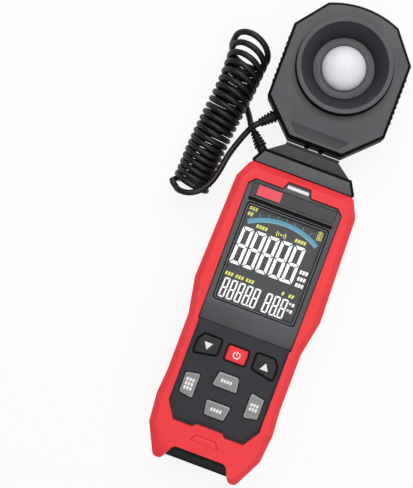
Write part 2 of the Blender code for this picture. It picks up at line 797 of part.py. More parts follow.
def make_battery_door():
    """The cover of the battery bay; it turns on two pins at its rounded upper end."""
    radius = DOOR_THICKNESS / 2
    foot = BAY_FOOT - DOOR_LEDGE + DOOR_GAP - DOOR_AXIS[1]
    hinge = new_empty("door_hinge", DOOR_AXIS, DATUM)
    steps = 4 * ARC_STEPS
    turns = [math.pi * (i / steps - 0.5) for i in range(steps + 1)]
    end = [(radius * math.cos(a), radius * math.sin(a)) for a in turns]
    mesh = prism("battery_door", [(foot, radius), (foot, -radius), *end], -DOOR_HALF, DOOR_HALF)
    mesh.transform(SIDEWAYS)
    door = place("battery_door", mesh, BLACK, hinge)
    join(door, cross_pin("door_pins", PIN_RADIUS, DOOR_HALF + PIN_LENGTH, hinge))


def cross_pin(name, radius, reach, parent=None, at=(0, 0, 0)):
    """A round bar along X, as long on both sides."""
    mesh = cylinder(name, radius, -reach, reach)
    mesh.transform(SIDEWAYS)
    return place(name, mesh, parent=parent, at=at)


def screw_mesh(name, bite):
    """A pan-head screw, head down; its shank starts at the head's top, at height zero."""
    return profile_mesh(
        name,
        [
            (0, bite),
            (SCREW_RADIUS, bite),
            (SCREW_RADIUS, 0),
            (SCREW_HEAD_RADIUS, 0),
            (SCREW_HEAD_RADIUS, -SCREW_HEAD),
            (0, -SCREW_HEAD),
        ],
        False,
    )


def make_screws():
    start = SCREW_SUNK + SCREW_HEAD
    for index, (x, y) in enumerate(case_posts()):
        mesh = screw_mesh("case_screw", SPLIT_HEIGHT + SCREW_BITE - start)
        turn(place(f"case_screw_{index + 1}", mesh, STEEL, at=(x, y, start)), ROUND_SIDES // 2)
    start = PCB_BOTTOM - SEAT_GAP
    for index, (x, y) in enumerate(board_bosses()):
        mesh = screw_mesh("pcb_screw", PCB_TOP + PCB_SCREW_BITE - start)
        turn(place(f"pcb_screw_{index + 1}", mesh, STEEL, at=(x, y, start)), ROUND_SIDES // 2)


def make_battery_cells():
    flat_first = BAY_FOOT + CONTACT_THICKNESS + SPRING_LENGTH + 2 * SEAT_GAP
    for name, column, turned_over in (("left", -1, False), ("middle", 0, True), ("right", 1, False)):
        shoulder = CELL_LENGTH - CELL_NUB
        profile = [
            (0, CELL_LENGTH),
            (CELL_NUB_RADIUS, CELL_LENGTH),
            (CELL_NUB_RADIUS, shoulder),
            (CELL_RADIUS, shoulder),
            (CELL_RADIUS, 0),
            (0, 0),
        ]
        mesh = profile_mesh("battery_cell", profile, False)
        station = BAY_FOOT + BAY_TOP - flat_first if turned_over else flat_first
        cell = place(f"battery_cell_{name}", mesh, CELL, at=(column * CELL_PITCH, station, CELL_HEIGHT))
        cell.rotation_euler = (math.pi / 2 if turned_over else -math.pi / 2, 0, 0)
        turn(cell, ROUND_SIDES)


def make_contacts():
    """Sprung and plain contacts at both ends of the bay."""
    for name, station, away, sprung in (
        ("battery_contacts_lower", BAY_FOOT + SEAT_GAP, 1, (-1, 1)),
        ("battery_contacts_upper", BAY_TOP - SEAT_GAP - CONTACT_THICKNESS, -1, (0,)),
    ):
        outline = box_outline(BAY_HALF - SEAT_GAP, station, station + CONTACT_THICKNESS)
        low = DOOR_TOP + 2 * SEAT_GAP
        strip = place(name, prism(name, outline, low, BAY_CEILING - SEAT_GAP), STEEL)
        for column in (-1, 0, 1):
            reach = SPRING_LENGTH if column in sprung else BUMP_LENGTH
            radius = SPRING_RADIUS if column in sprung else CELL_NUB_RADIUS
            profile = [(0, reach), (radius * SPRING_TAPER, reach), (radius, -CONTACT_THICKNESS / 2)]
            profile.append((0, -CONTACT_THICKNESS / 2))
            mesh = profile_mesh(name + "_tip", profile, False)
            face = station + CONTACT_THICKNESS if away > 0 else station
            tip = place(f"{name}_tip_{column + 1}", mesh, at=(column * CELL_PITCH, face, CELL_HEIGHT))
            tip.rotation_euler = (-away * math.pi / 2, 0, 0)
            join(strip, turn(tip, ROUND_SIDES // 2))


def make_display():
    bezel = place(
        "display_bezel", prism("display_bezel", bezel_outline(), BEZEL_BOTTOM, BEZEL_TOP), GREY
    )
    opening = box_outline(LENS_HALF + SEAT_GAP, LENS_FOOT - SEAT_GAP, LENS_TOP + SEAT_GAP)
    opening = rounded(opening, LENS_CORNER + SEAT_GAP)
    cut_prism(bezel, "lens_opening", opening, BEZEL_BOTTOM - PASS, BEZEL_TOP + PASS)
    groove_foot = LENS_TOP + (LABEL_STEP - GROOVE_WIDTH) / 2
    groove = box_outline(LABEL_HALF, groove_foot, groove_foot + GROOVE_WIDTH)
    cut_prism(bezel, "bezel_groove", groove, BEZEL_TOP - GROOVE_DEPTH, BEZEL_TOP + PASS)
    recess = box_outline(LABEL_HALF, LABEL_FOOT, LABEL_FOOT + LABEL_LENGTH)
    cut_prism(bezel, "label_recess", recess, BEZEL_TOP - LABEL_DEPTH, BEZEL_TOP + PASS)
    window_foot = PANEL_TOP + (TAB_RISE - WINDOW_LENGTH) / 4
    window = box_outline(WINDOW_HALF, window_foot, window_foot + WINDOW_LENGTH)
    cut_prism(bezel, "window_slot", window, BEZEL_TOP - GROOVE_DEPTH * 2, BEZEL_TOP + PASS)
    slope = math.atan2(RAMP_DROP, RAMP_LENGTH)
    block = box_outline(2 * PANEL_HALF, -2 * RAMP_LENGTH, 0)
    ramp = place("bezel_ramp", prism("bezel_ramp", block, 0, RAMP_LENGTH))
    ramp.location = (0, KEYPAD_TOP + SEAT_GAP + RAMP_LENGTH, BEZEL_TOP)
    ramp.rotation_euler = (slope, 0, 0)
    cut(bezel, ramp)

    lens = rounded(box_outline(LENS_HALF, LENS_FOOT, LENS_TOP), LENS_CORNER)
    place("display_lens", prism("display_lens", lens, BEZEL_BOTTOM, BEZEL_BOTTOM + LENS_THICKNESS), GLASS)
    label = offset(recess, -SEAT_GAP)
    label_bottom = BEZEL_TOP - LABEL_DEPTH + SEAT_GAP
    place("label_plate", prism("label_plate", label, label_bottom, label_bottom + LABEL_THICKNESS), GREY)
    bar = offset(window, -SEAT_GAP / 2)
    bar_bottom = BEZEL_TOP - GROOVE_DEPTH * 2 + SEAT_GAP
    place("light_window", prism("light_window", bar, bar_bottom, BEZEL_TOP), WHITE)
    border = LCD_BORDER
    lcd = box_outline(LENS_HALF + border, LENS_FOOT - border, LENS_TOP + border)
    place("lcd_module", prism("lcd_module", lcd, LCD_BOTTOM, LCD_TOP), LCD)
    glow = box_outline(LENS_HALF, LENS_FOOT, LENS_TOP)
    place("lcd_backlight", prism("lcd_backlight", glow, BACKLIGHT_BOTTOM, BACKLIGHT_TOP), WHITE)


def make_boards():
    foot = KEYPAD_FOOT + PCB_FOOT_MARGIN
    top = LENS_TOP + LCD_BORDER + BOSS_STEP + PCB_TOP_MARGIN
    mesh = prism("main_pcb", box_outline(PCB_HALF, foot, top), PCB_BOTTOM, PCB_TOP)
    board = place("main_pcb", mesh, PCB)
    for index, (x, y) in enumerate(board_bosses()):
        hole = cylinder("board_hole", SCREW_RADIUS + SCREW_GAP, PCB_BOTTOM - PASS, PCB_TOP + PASS)
        cut(board, place(f"board_hole_{index}", hole, at=(x, y, 0)))
    mat_top = KEY_BOTTOM - KEY_TRAVEL - SEAT_GAP
    mat = box_outline(MAT_HALF, KEYPAD_FOOT + MAT_MARGIN, KEYPAD_TOP - MAT_MARGIN)
    place("key_mat", prism("key_mat", mat, PCB_TOP + SEAT_GAP, mat_top), RUBBER)


def make_keys():
    """Keys that slide in their holes, each held from behind by its flange."""
    looks = {"power_key": RED, "max_min_key": KEY_GREY, "unit_key": KEY_GREY, "mode_key": KEY_GREY}
    looks["hold_key"] = KEY_GREY
    for name, outline in key_outlines().items():
        middle = (
            sum(x for x, _ in outline) / len(outline),
            sum(y for _, y in outline) / len(outline),
        )
        local = [(x - middle[0], y - middle[1]) for x, y in outline]
        height = SHELL_DEPTH + KEY_HEIGHT - KEY_BOTTOM
        seat = new_empty(name + "_guide", (*middle, KEY_BOTTOM), DATUM)
        mesh = chamfered(name, rounded(local, KEY_CORNER), 0, height, KEY_EDGE)
        key = place(name, mesh, looks.get(name, KEY_BLACK), seat)
        flange = rounded(offset(local, KEY_FLANGE), KEY_CORNER)
        rim = place(name + "_flange", prism(name + "_flange", flange, 0, KEY_FLANGE_THICKNESS), parent=seat)
        join(key, rim)


def make_collar():
    """The cap on the body's top end; its front is cut back at the sides and top, not along its foot."""
    outline = mirrored(
        [
            (COLLAR_HALF, COLLAR_FOOT),
            (COLLAR_HALF, COLLAR_FOOT + COLLAR_LAND),
            (COLLAR_TOP_HALF, COLLAR_TOP),
        ]
    )
    front = [COLLAR_CHAMFER] * (len(outline) - 1) + [0]
    layers = (
        (outline, COLLAR_BACK),
        (outline, COLLAR_FRONT - COLLAR_CHAMFER),
        (inset(outline, front), COLLAR_FRONT),
    )
    collar = place("top_collar", layered("top_collar", layers), GREY)
    shoulder = mirrored(
        [
            (COLLAR_TOP_HALF, COLLAR_TOP - COLLAR_LAND / 2),
            (SHOULDER_HALF, SHOULDER_TOP),
        ]
    )
    join_prism(collar, "collar_shoulder", shoulder, SHOULDER_BACK, SHOULDER_FRONT)
    wall = COLLAR_WALL
    room = box_outline(COLLAR_TOP_HALF - wall, COLLAR_FOOT - PASS, COLLAR_TOP - wall)
    cut_prism(collar, "collar_room", room, COLLAR_BACK + wall, COLLAR_FRONT - wall)
    cut(collar, socket_cutter("collar_socket", COLLAR_FOOT + wall, DOCK_TOP + PASS))
    cut(collar, boot_pocket("body_boot_pocket", BODY_BOOT_ROOT, BODY_BOOT_AIM))

    plate_outline = box_outline(SHOULDER_HALF, DOCK_FOOT, DOCK_TOP)
    plate = place("dock_plate", prism("dock_plate", plate_outline, DOCK_BACK, DOCK_FRONT), GREY)
    cut(plate, socket_cutter("plate_socket", DOCK_FOOT - PASS, DOCK_TOP + PASS))


def socket_cutter(name, foot, top):
    """The room that the head's tongue slides in."""
    half = TONGUE_HALF + SOCKET_GAP
    depth = TONGUE_DEPTH / 2 + SOCKET_GAP
    return place(name, prism(name, box_outline(half, foot, top), TONGUE_MID - depth, TONGUE_MID + depth))


def make_head_shells():
    outline = head_outline()
    inside = offset(outline, -HEAD_WALL)
    rear_top = HEAD_SPLIT - SEAT_GAP / 2
    front_bottom = HEAD_SPLIT + SEAT_GAP / 2
    inner_face = HEAD_FACE - HEAD_WALL
    mesh = chamfered("head_rear_shell", outline, HEAD_BACK, rear_top, back=HEAD_BACK_CHAMFER)
    rear = place("head_rear_shell", mesh, BLACK, HEAD)
    cut_prism(rear, "head_rear_room", inside, HEAD_BACK + HEAD_WALL, rear_top + PASS)
    mesh = chamfered("head_front_shell", outline, front_bottom, HEAD_FACE, front=HEAD_CHAMFER)
    front = place("head_front_shell", mesh, GREY, HEAD)
    cut_prism(front, "head_front_room", inside, front_bottom - PASS, inner_face)
    middle = (0, DOME_STATION, 0)
    throat = (RING_INNER + RING_OUTER) / 2
    mesh = cylinder("ring_throat", throat, inner_face - PASS, HEAD_FACE + PASS, RING_SIDES)
    cut(front, place("ring_throat", mesh, at=middle))
    funnel = [
        (RING_OUTER, RING_TOP),
        (RING_BASE, HEAD_FACE),
        (RING_BASE, inner_face - HEAD_WALL),
        (FUNNEL_RADIUS + HEAD_WALL, SEAT_BOTTOM),
        (SEAT_BORE, SEAT_BOTTOM),
        (SEAT_BORE, SEAT_TOP),
        (FUNNEL_RADIUS, SEAT_TOP),
        (FUNNEL_RADIUS, FUNNEL_FLOOR),
        (RING_INNER, RING_TOP),
    ]
    ring = place("ring_and_funnel", profile_mesh("ring_and_funnel", funnel, True), at=middle)
    join(front, turn(ring, RING_SIDES))
    for index, (x, y) in enumerate(head_posts()):
        spot = (x, y, 0)
        sunk = HEAD_BACK + SCREW_SUNK / 2 + SCREW_HEAD + SEAT_GAP
        post = cylinder("head_rear_post", HEAD_POST_RADIUS, HEAD_BACK + HEAD_WALL / 2, rear_top)
        join(rear, place(f"head_rear_post_{index}", post, at=spot))
        bore = cylinder("head_rear_bore", SCREW_RADIUS + SCREW_GAP, HEAD_BACK - PASS, rear_top + PASS)
        cut(rear, place(f"head_rear_bore_{index}", bore, at=spot))
        sink = cylinder("head_rear_sink", SCREW_HEAD_RADIUS + SCREW_GAP, HEAD_BACK - PASS, sunk)
        cut(rear, place(f"head_rear_sink_{index}", sink, at=spot))
        post = cylinder("head_front_post", HEAD_POST_RADIUS, front_bottom, inner_face + HEAD_WALL / 4)
        join(front, place(f"head_front_post_{index}", post, at=spot))
        tip = HEAD_SPLIT + HEAD_SCREW_BITE + SEAT_GAP
        pilot = cylinder("head_pilot", SCREW_RADIUS + SCREW_GAP, front_bottom - PASS, tip)
        cut(front, place(f"head_pilot_{index}", pilot, at=spot))
        start = HEAD_BACK + SCREW_SUNK / 2 + SCREW_HEAD
        mesh = screw_mesh("head_screw", HEAD_SPLIT + HEAD_SCREW_BITE - start)
        screw = place(f"head_screw_{index + 1}", mesh, STEEL, HEAD, at=(x, y, start))
        turn(screw, ROUND_SIDES // 2)
    for shell, name in ((rear, "rear"), (front, "front")):
        cut(shell, socket_cutter(f"head_{name}_slot", HEAD_FOOT - PASS, HEAD_FOOT + 2 * HEAD_WALL))
    cut(front, boot_pocket("head_boot_pocket", *head_boot()))


def make_sensor():
    """The dome, its ring and the light sensor under it, all on the funnel's seat."""
    at = (0, DOME_STATION, 0)
    base = SEAT_TOP + SEAT_GAP
    rim = [
        (FUNNEL_RADIUS - SEAT_GAP, FUNNEL_FLOOR),
        (FUNNEL_RADIUS - SEAT_GAP, base),
        (DOME_RADIUS + SEAT_GAP, base),
        (DOME_RADIUS + SEAT_GAP, FUNNEL_FLOOR),
    ]
    ring = place("retaining_ring", profile_mesh("retaining_ring", rim, True), GREY, HEAD, at)
    turn(ring, RING_SIDES)
    steps = 2 * ARC_STEPS
    quarter = [math.pi / 2 * i / steps for i in range(steps + 1)]
    inner = DOME_RADIUS - DOME_WALL
    dome = [(DOME_RADIUS * math.sin(a), FUNNEL_FLOOR + DOME_HEIGHT * math.cos(a)) for a in quarter]
    dome += [(DOME_RADIUS, base), (inner, base)]
    hollow = DOME_HEIGHT - DOME_WALL
    dome += [(inner * math.sin(a), FUNNEL_FLOOR + hollow * math.cos(a)) for a in reversed(quarter)]
    cover = place("diffuser_dome", profile_mesh("diffuser_dome", dome, False), WHITE, HEAD, at)
    turn(cover, DOME_SIDES)
    filter_top = base - SEAT_GAP
    filter_bottom = filter_top - FILTER_THICKNESS
    disc = cylinder("colour_filter", SEAT_BORE - SEAT_GAP, filter_bottom, filter_top)
    place("colour_filter", disc, FILTER, HEAD, at)
    chip_bottom = filter_bottom - SEAT_GAP - PHOTODIODE_THICKNESS
    chip = cylinder("photodiode", PHOTODIODE_RADIUS, chip_bottom, filter_bottom - SEAT_GAP)
    place("photodiode", chip, BLACK, HEAD, at)
    board_top = min(SEAT_BOTTOM, chip_bottom) - SEAT_GAP
    board = cylinder("sensor_pcb", SENSOR_PCB_RADIUS, board_top - PCB_THICKNESS, board_top)
    place("sensor_pcb", board, PCB, HEAD, at)


def make_tongue():
    """The head's two-legged plug, anchored between the head's shells."""
    tip = DOCK_TOP - TONGUE_REACH
    slot_top = HEAD_FOOT
    anchor_foot = HEAD_FOOT + HEAD_WALL + 2 * SOCKET_GAP
    outline = mirrored(
        [
            (0, slot_top),
            (TONGUE_SLOT_HALF, slot_top),
            (TONGUE_SLOT_HALF, tip),
            (TONGUE_HALF, tip),
            (TONGUE_HALF, anchor_foot),
            (ANCHOR_HALF, anchor_foot),
            (ANCHOR_HALF, anchor_foot + ANCHOR_LENGTH),
            (0, anchor_foot + ANCHOR_LENGTH),
        ]
    )
    low = TONGUE_MID - TONGUE_DEPTH / 2
    mesh = prism("dock_tongue", outline, low, low + TONGUE_DEPTH)
    place("dock_tongue", mesh, BLACK, HEAD)


def head_boot():
    """Where the head's boot starts, inside the lower left wall, and the way it points."""
    edge = Vector((HEAD_FOOT_HALF - HEAD_HALF, HEAD_FOOT_RISE, 0))
    aim = Vector((-edge.y, edge.x, 0)).normalized()
    root = Vector((-HEAD_FOOT_HALF, HEAD_FOOT, HEAD_BOOT_HEIGHT)) + edge * HEAD_BOOT_SHARE
    return root - aim * HEAD_BOOT_INSIDE, aim


def boot_tip(root, aim):
    return Vector(root) + Vector(aim).normalized() * BOOT_LENGTH


def boot_pocket(name, root, aim):
    """The hole in a wall that a boot's shank sits in."""
    mesh = cylinder(name, BOOT_SHANK_RADIUS + SEAT_GAP, -SEAT_GAP, BOOT_SHANK + BOOT_BASE_RADIUS)
    pocket = place(name, mesh, at=root)
    pocket.rotation_euler = Vector(aim).to_track_quat("Z", "Y").to_euler()
    return pocket


def make_boot(name, root, aim, parent):
    """A ribbed strain relief that narrows from its base to its tip."""
    pitch = (BOOT_LENGTH - BOOT_SHANK) / BOOT_RIBS
    profile = []
    for rib in range(BOOT_RIBS):
        top = BOOT_LENGTH - rib * pitch
        radius = BOOT_TIP_RADIUS + (BOOT_BASE_RADIUS - BOOT_TIP_RADIUS) * rib / (BOOT_RIBS - 1)
        core = radius * BOOT_CORE
        under = top - pitch * BOOT_RIB_SHARE
        profile += [(radius, top), (radius, under), (core, under - BOOT_RIB_FALL), (core, top - pitch)]
    profile = [(0, BOOT_LENGTH), *profile]
    profile[-1] = (BOOT_SHANK_RADIUS, BOOT_SHANK)
    profile += [(BOOT_SHANK_RADIUS, 0), (0, 0)]
    boot = place(name, profile_mesh(name, profile, False), RUBBER, parent, root)
    boot.rotation_euler = Vector(aim).to_track_quat("Z", "Y").to_euler()
    turn(boot, ROUND_SIDES // 2)


def smooth_route(points, step):
    """Points at even steps along a smooth curve through the given points."""
    knots = [Vector(p) for p in points]
    knots = [2 * knots[0] - knots[1], *knots, 2 * knots[-1] - knots[-2]]
    fine = []
    for a, b, c, d in zip(knots, knots[1:], knots[2:], knots[3:], strict=False):
        square = 2 * a - 5 * b + 4 * c - d
        cube = 3 * b - a - 3 * c + d
        for t in np.linspace(0, 1, ROUTE_STEPS, endpoint=False):
            fine.append((2 * b + (c - a) * t + square * t**2 + cube * t**3) / 2)
    fine.append(knots[-2])
    line = np.array(fine)
    along = np.concatenate([[0], np.cumsum(np.linalg.norm(np.diff(line, axis=0), axis=1))])
    count = max(2, round(along[-1] / step) + 1)
    even = np.linspace(0, along[-1], count)
    return np.stack([np.interp(even, along, line[:, k]) for k in range(3)], axis=1)


def from_shoulder(route):
    """A route's points, moved to where the shoulder is."""
    return [Vector((x, y + CORD_STATION, z)) for x, y, z in route]


def curl_points():
    """The curly stretch: loops along a gently bent axis, the last ones wider and leaning over."""
    axis = smooth_route(from_shoulder(CURL_AXIS), CORD_DIAMETER / 4)
    along = np.linspace(0, 1, len(axis))
    count = round(CURL_TURNS * CURL_POINTS)
    skew = math.radians(CURL_SKEW)
    across = np.array([math.cos(skew), -math.sin(skew), 0])
    foot_lean = math.radians(CURL_LEAN_FOOT)
    foot_upward = np.array([0, math.sin(foot_lean), math.cos(foot_lean)])
    points = []
    for index in range(count + 1):
        share = index / count
        travel = share + CURL_SPREAD * (share**5 - share)
        centre = np.array([np.interp(travel, along, axis[:, k]) for k in range(3)])
        lean = math.radians(CURL_LEAN_FOOT + (CURL_LEAN_TOP - CURL_LEAN_FOOT) * share**3)
        radius = CURL_RADIUS * (1 + CURL_FLARE * share**6)
        upward = np.array([0, math.sin(lean), math.cos(lean)])
        angle = math.radians(CURL_START) + 2 * math.pi * CURL_TURNS * share
        points.append(centre + radius * (math.cos(angle) * across + math.sin(angle) * upward))
    first = straight_on(points[0], points[0] - points[1], foot_upward)
    last = straight_on(points[-1], points[-1] - points[-2], -upward)
    return [first, *points, last]


def straight_on(end, chord, tangent):
    """One cord diameter past an end, along the loop's own direction there."""
    way = tangent / np.linalg.norm(tangent) + CHORD_SHARE * chord / np.linalg.norm(chord)
    return end + way / np.linalg.norm(way) * CORD_DIAMETER


def least_gap(points, diameter):
    """The smallest gap between stretches of a tube that aren't neighbours along it."""
    line = smooth_route(points, diameter / 2)
    gaps = np.linalg.norm(line[:, None] - line[None, :], axis=2)
    apart = np.abs(np.subtract.outer(np.arange(len(line)), np.arange(len(line))))
    half_turn = math.pi * CURL_RADIUS / (diameter / 2)
    return float(gaps[apart > half_turn].min()) - diameter


def make_tube(name, points, fineness):
    curve = bpy.data.curves.new(name, "CURVE")
    curve.dimensions = "3D"
    curve.bevel_depth = CORD_DIAMETER / 2
    curve.bevel_resolution = fineness
    curve.use_fill_caps = True
    spline = curve.splines.new("POLY")
    spline.points.add(len(points) - 1)
    for point, spot in zip(spline.points, points, strict=True):
        point.co = (*spot, 1)
    place(name, curve, CORD)


def make_cord():
    """One cord in three stretches, end to end from the body's boot to the head's boot."""
    curl = [Vector(p) for p in curl_points()]
    print(f"cord_curl least gap to itself: {least_gap(curl, CORD_DIAMETER) * 1000:.2f} mm")
    make_tube("cord_curl", curl, 1)
    for name, route, boot, inner, outer in (
        ("cord_body_run", BODY_RUN, (BODY_BOOT_ROOT, BODY_BOOT_AIM), curl[-2], curl[-1]),
        ("cord_head_run", HEAD_RUN, head_boot(), curl[1], curl[0]),
    ):
        tip = boot_tip(*boot)
        way = Vector(boot[1]).normalized()
        leaving = (outer - inner).normalized()
        near_boot = [tip + way * SEAT_GAP, tip + way * (SEAT_GAP + CORD_DIAMETER)]
        near_curl = [outer + leaving * (SEAT_GAP + CORD_DIAMETER), outer + leaving * SEAT_GAP]
        middle = from_shoulder(route)
        if name == "cord_head_run":
            middle.reverse()
        line = smooth_route([*near_boot, *middle, *near_curl], CORD_DIAMETER)
        make_tube(name, [Vector(p) for p in line], 2)


clear_scene()
PARTS = new_collection("light_meter")
CUTTERS = new_collection("light_meter_cutters")
DATUM = bpy.data.objects.new("meter_datum", None)
DATUM.location = (0, -METER_LENGTH / 2, 0)
PARTS.objects.link(DATUM)
HEAD = new_empty("head_slide", (0, 0, 0), DATUM)

RED = paint("red_rubber", 225, 55, 60, 0.55)
GREY = paint("dark_grey_plastic", 88, 86, 90, 0.5)
DARK = paint("keypad_plastic", 48, 48, 54, 0.5)
BLACK = paint("black_plastic", 14, 14, 16, 0.45)
KEY_GREY = paint("grey_key", 160, 160, 160, 0.5)
KEY_BLACK = paint("black_key", 45, 46, 50, 0.5)
RUBBER = paint("black_rubber", 20, 20, 22, 0.6)
CORD = paint("cord_sheath", 16, 16, 18, 0.35)
WHITE = paint("white_diffuser", 228, 224, 230, 0.4)
GLASS = paint("display_window", 60, 62, 66, 0.08)
LCD = paint("display_glass", 80, 82, 84, 0.2)
PCB = paint("circuit_board", 30, 96, 52, 0.45)
STEEL = paint("bright_steel", 190, 190, 190, 0.3, 1.0)
CELL = paint("battery_sleeve", 60, 62, 70, 0.35, 0.4)
FILTER = paint("green_filter", 120, 150, 90, 0.15)

make_bumper()
make_front_shell()
make_rear_shell()
make_battery_door()
make_screws()
make_battery_cells()
make_contacts()
make_display()
make_boards()
make_keys()
make_collar()
make_head_shells()
make_sensor()
make_tongue()
make_boot("body_strain_relief", BODY_BOOT_ROOT, BODY_BOOT_AIM, DATUM)
make_boot("head_strain_relief", *head_boot(), HEAD)
make_cord()
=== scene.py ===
"""Looks of the handheld light meter, laid out as an add-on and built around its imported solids.

Every place is in the solids' own frame, in metres: +X to the right of the face, +Y from the body's foot to
the sensor head and +Z out of the face. Stations along the meter are measured from the body's foot.
"""

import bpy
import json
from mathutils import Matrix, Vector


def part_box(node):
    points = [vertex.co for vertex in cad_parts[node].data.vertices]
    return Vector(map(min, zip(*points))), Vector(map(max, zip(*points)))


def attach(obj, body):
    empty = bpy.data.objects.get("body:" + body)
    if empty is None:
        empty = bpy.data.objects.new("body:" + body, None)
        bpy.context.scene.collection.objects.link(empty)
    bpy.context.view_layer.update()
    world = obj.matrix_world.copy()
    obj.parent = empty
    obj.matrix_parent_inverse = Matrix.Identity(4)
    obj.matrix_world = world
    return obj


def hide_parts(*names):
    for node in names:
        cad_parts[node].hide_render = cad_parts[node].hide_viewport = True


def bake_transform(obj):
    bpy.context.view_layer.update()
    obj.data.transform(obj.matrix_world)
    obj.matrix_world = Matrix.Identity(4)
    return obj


bl_info = {
    "name": "Light meter looks",
    "version": (1, 0, 0),
    "blender": (4, 5, 0),
    "location": "View3D > Sidebar > Light Meter",
    "description": "Gives the packed light meter its finishes, display, key marks and curly cord",
    "category": "Object",
}

import json
import math

import bmesh
import bpy
import numpy as np
from bpy.props import FloatProperty, FloatVectorProperty, IntProperty, PointerProperty
from mathutils import Matrix, Vector

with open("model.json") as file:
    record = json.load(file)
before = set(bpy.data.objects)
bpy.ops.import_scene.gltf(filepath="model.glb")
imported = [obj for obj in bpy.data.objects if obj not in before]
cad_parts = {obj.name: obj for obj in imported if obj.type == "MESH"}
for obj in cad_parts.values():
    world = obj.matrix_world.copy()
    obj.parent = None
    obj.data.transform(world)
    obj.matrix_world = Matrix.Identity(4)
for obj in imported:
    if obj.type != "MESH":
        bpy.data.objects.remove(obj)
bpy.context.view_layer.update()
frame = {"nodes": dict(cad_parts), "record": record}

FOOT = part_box("bumper")[0][1]
CORD_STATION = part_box("top_collar")[1][1] - 0.0038
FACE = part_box("front_shell")[1][2]
KEY_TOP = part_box("power_key")[1][2]
LCD_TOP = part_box("lcd_module")[1][2]
LENS_LOW, LENS_HIGH = (Vector(corner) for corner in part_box("display_lens"))
HEAD_LOW, HEAD_HIGH = (Vector(corner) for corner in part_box("head_front_shell"))
HEAD_FACE = HEAD_HIGH.z - 0.005
HEAD_FOOT_HALF = 0.0135
HEAD_FOOT_RISE = 0.0152
RING_INSIDE = 0.0204
RING_OUTSIDE = 0.0214
DOME_LOW, DOME_HIGH = (Vector(corner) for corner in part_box("diffuser_dome"))
DOME_CENTRE = (DOME_LOW + DOME_HIGH) / 2
KEYS = ("power_key", "down_key", "up_key", "hold_key", "mode_key", "max_min_key", "unit_key")
BODY_OF = {node: body for body, nodes in frame["record"]["behaviour"]["bodies"].items() for node in nodes}
WELD = 0.000002
SLIVER = 0.000004
NEAR = 0.00002
INK = 0.00004
DASH_STEP = 0.0014

# Routes of the cord, with stations from a line a little below the shoulder's top
CURL_AXIS = (
    (-0.0492, -0.0296, 0.0095), (-0.0488, -0.0217, 0.0095), (-0.0482, -0.0074, 0.0096),
    (-0.0466, 0.0079, 0.0114), (-0.0450, 0.0209, 0.0124), (-0.0444, 0.0339, 0.0128),
    (-0.0444, 0.0424, 0.0134),
)
BODY_RUN = (
    (-0.0336, 0.0104, 0.0066), (-0.0372, 0.0155, 0.0034), (-0.0420, 0.0219, 0.0018),
    (-0.0470, 0.0285, 0.0018), (-0.0505, 0.0333, 0.0025), (-0.0525, 0.0374, 0.0052),
)
HEAD_RUN = (
    (-0.0561, -0.0315, 0.0140), (-0.0528, -0.0334, 0.0174), (-0.0476, -0.0329, 0.0188),
    (-0.0430, -0.0297, 0.0188), (-0.0398, -0.0244, 0.0176), (-0.0382, -0.0179, 0.0156),
    (-0.0369, -0.0094, 0.0144), (-0.0343, -0.0009, 0.0142), (-0.0316, 0.0057, 0.0154),
)


def linear(colour):
    """A screen colour as amounts of light."""
    return [c / 12.92 if c <= 0.04045 else ((c + 0.055) / 1.055) ** 2.4 for c in colour]


def station(distance):
    """The Y of a place measured from the body's foot."""
    return FOOT + distance


def middle(node):
    """The X and Y of a solid's middle."""
    low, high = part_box(node)
    return (low[0] + high[0]) / 2, (low[1] + high[1]) / 2


def new_material(name):
    """A fresh node material and its shader."""
    material = bpy.data.materials.new(name)
    material.use_nodes = True
    return material, material.node_tree, material.node_tree.nodes["Principled BSDF"]


def feed(socket, value):
    """Sets an input to a value, or wires it to an output; a node stands for its first output."""
    if isinstance(value, bpy.types.Node):
        value = value.outputs[0]
    if isinstance(value, bpy.types.NodeSocket):
        socket.id_data.links.new(value, socket)
    else:
        socket.default_value = value


def add_node(tree, kind, *terms, **values):
    """A node with its inputs fed in order or by name, and its properties set by name."""
    node = tree.nodes.new(kind)
    for socket, value in zip(node.inputs, terms, strict=False):
        feed(socket, value)
    for key, value in values.items():
        label = key.replace("_", " ")
        if label in node.inputs:
            feed(node.inputs[label], value)
        else:
            setattr(node, key, value)
    return node


def noise(tree, size, detail=3.0):
    """Noise with features of about this size, in the piece's own coordinates."""
    place = add_node(tree, "ShaderNodeTexCoord").outputs["Object"]
    return add_node(tree, "ShaderNodeTexNoise", Vector=place, Scale=1 / size, Detail=detail, Roughness=0.6)


def spread_colour(tree, shader, texture, colour, amount):
    """Varies a colour a little, darker and lighter, along a texture."""
    ramp = add_node(tree, "ShaderNodeValToRGB", Fac=texture)
    ends = (0.3, 1 - amount), (0.7, 1 + amount)
    for element, (position, share) in zip(ramp.color_ramp.elements, ends, strict=True):
        element.position = position
        element.color = (*[min(1, c * share) for c in linear(colour)], 1)
    feed(shader.inputs["Base Color"], ramp)


def spread_roughness(tree, shader, texture, low, high):
    """Varies the roughness between two values along a texture."""
    span = add_node(tree, "ShaderNodeMapRange", Value=texture, To_Min=low, To_Max=high)
    feed(shader.inputs["Roughness"], span)


def surface(name, colour, tone, fine=None, rough=None, bump=None, **inputs):
    """A material of one colour.

    tone gives the size, detail and depth of its patches, fine the size of its grain, rough the least and the
    greatest roughness along that grain, and bump the grain's height and strength.
    """
    material, tree, shader = new_material(name)
    size, detail, depth = tone
    spread_colour(tree, shader, noise(tree, size, detail), colour, depth)
    if fine:
        texture = noise(tree, fine)
        spread_roughness(tree, shader, texture, *rough)
    if bump:
        height, strength = bump
        grain = add_node(tree, "ShaderNodeBump", Height=texture, Distance=height, Strength=strength)
        feed(shader.inputs["Normal"], grain)
    for label, value in inputs.items():
        feed(shader.inputs[label.replace("_", " ")], value)
    return material


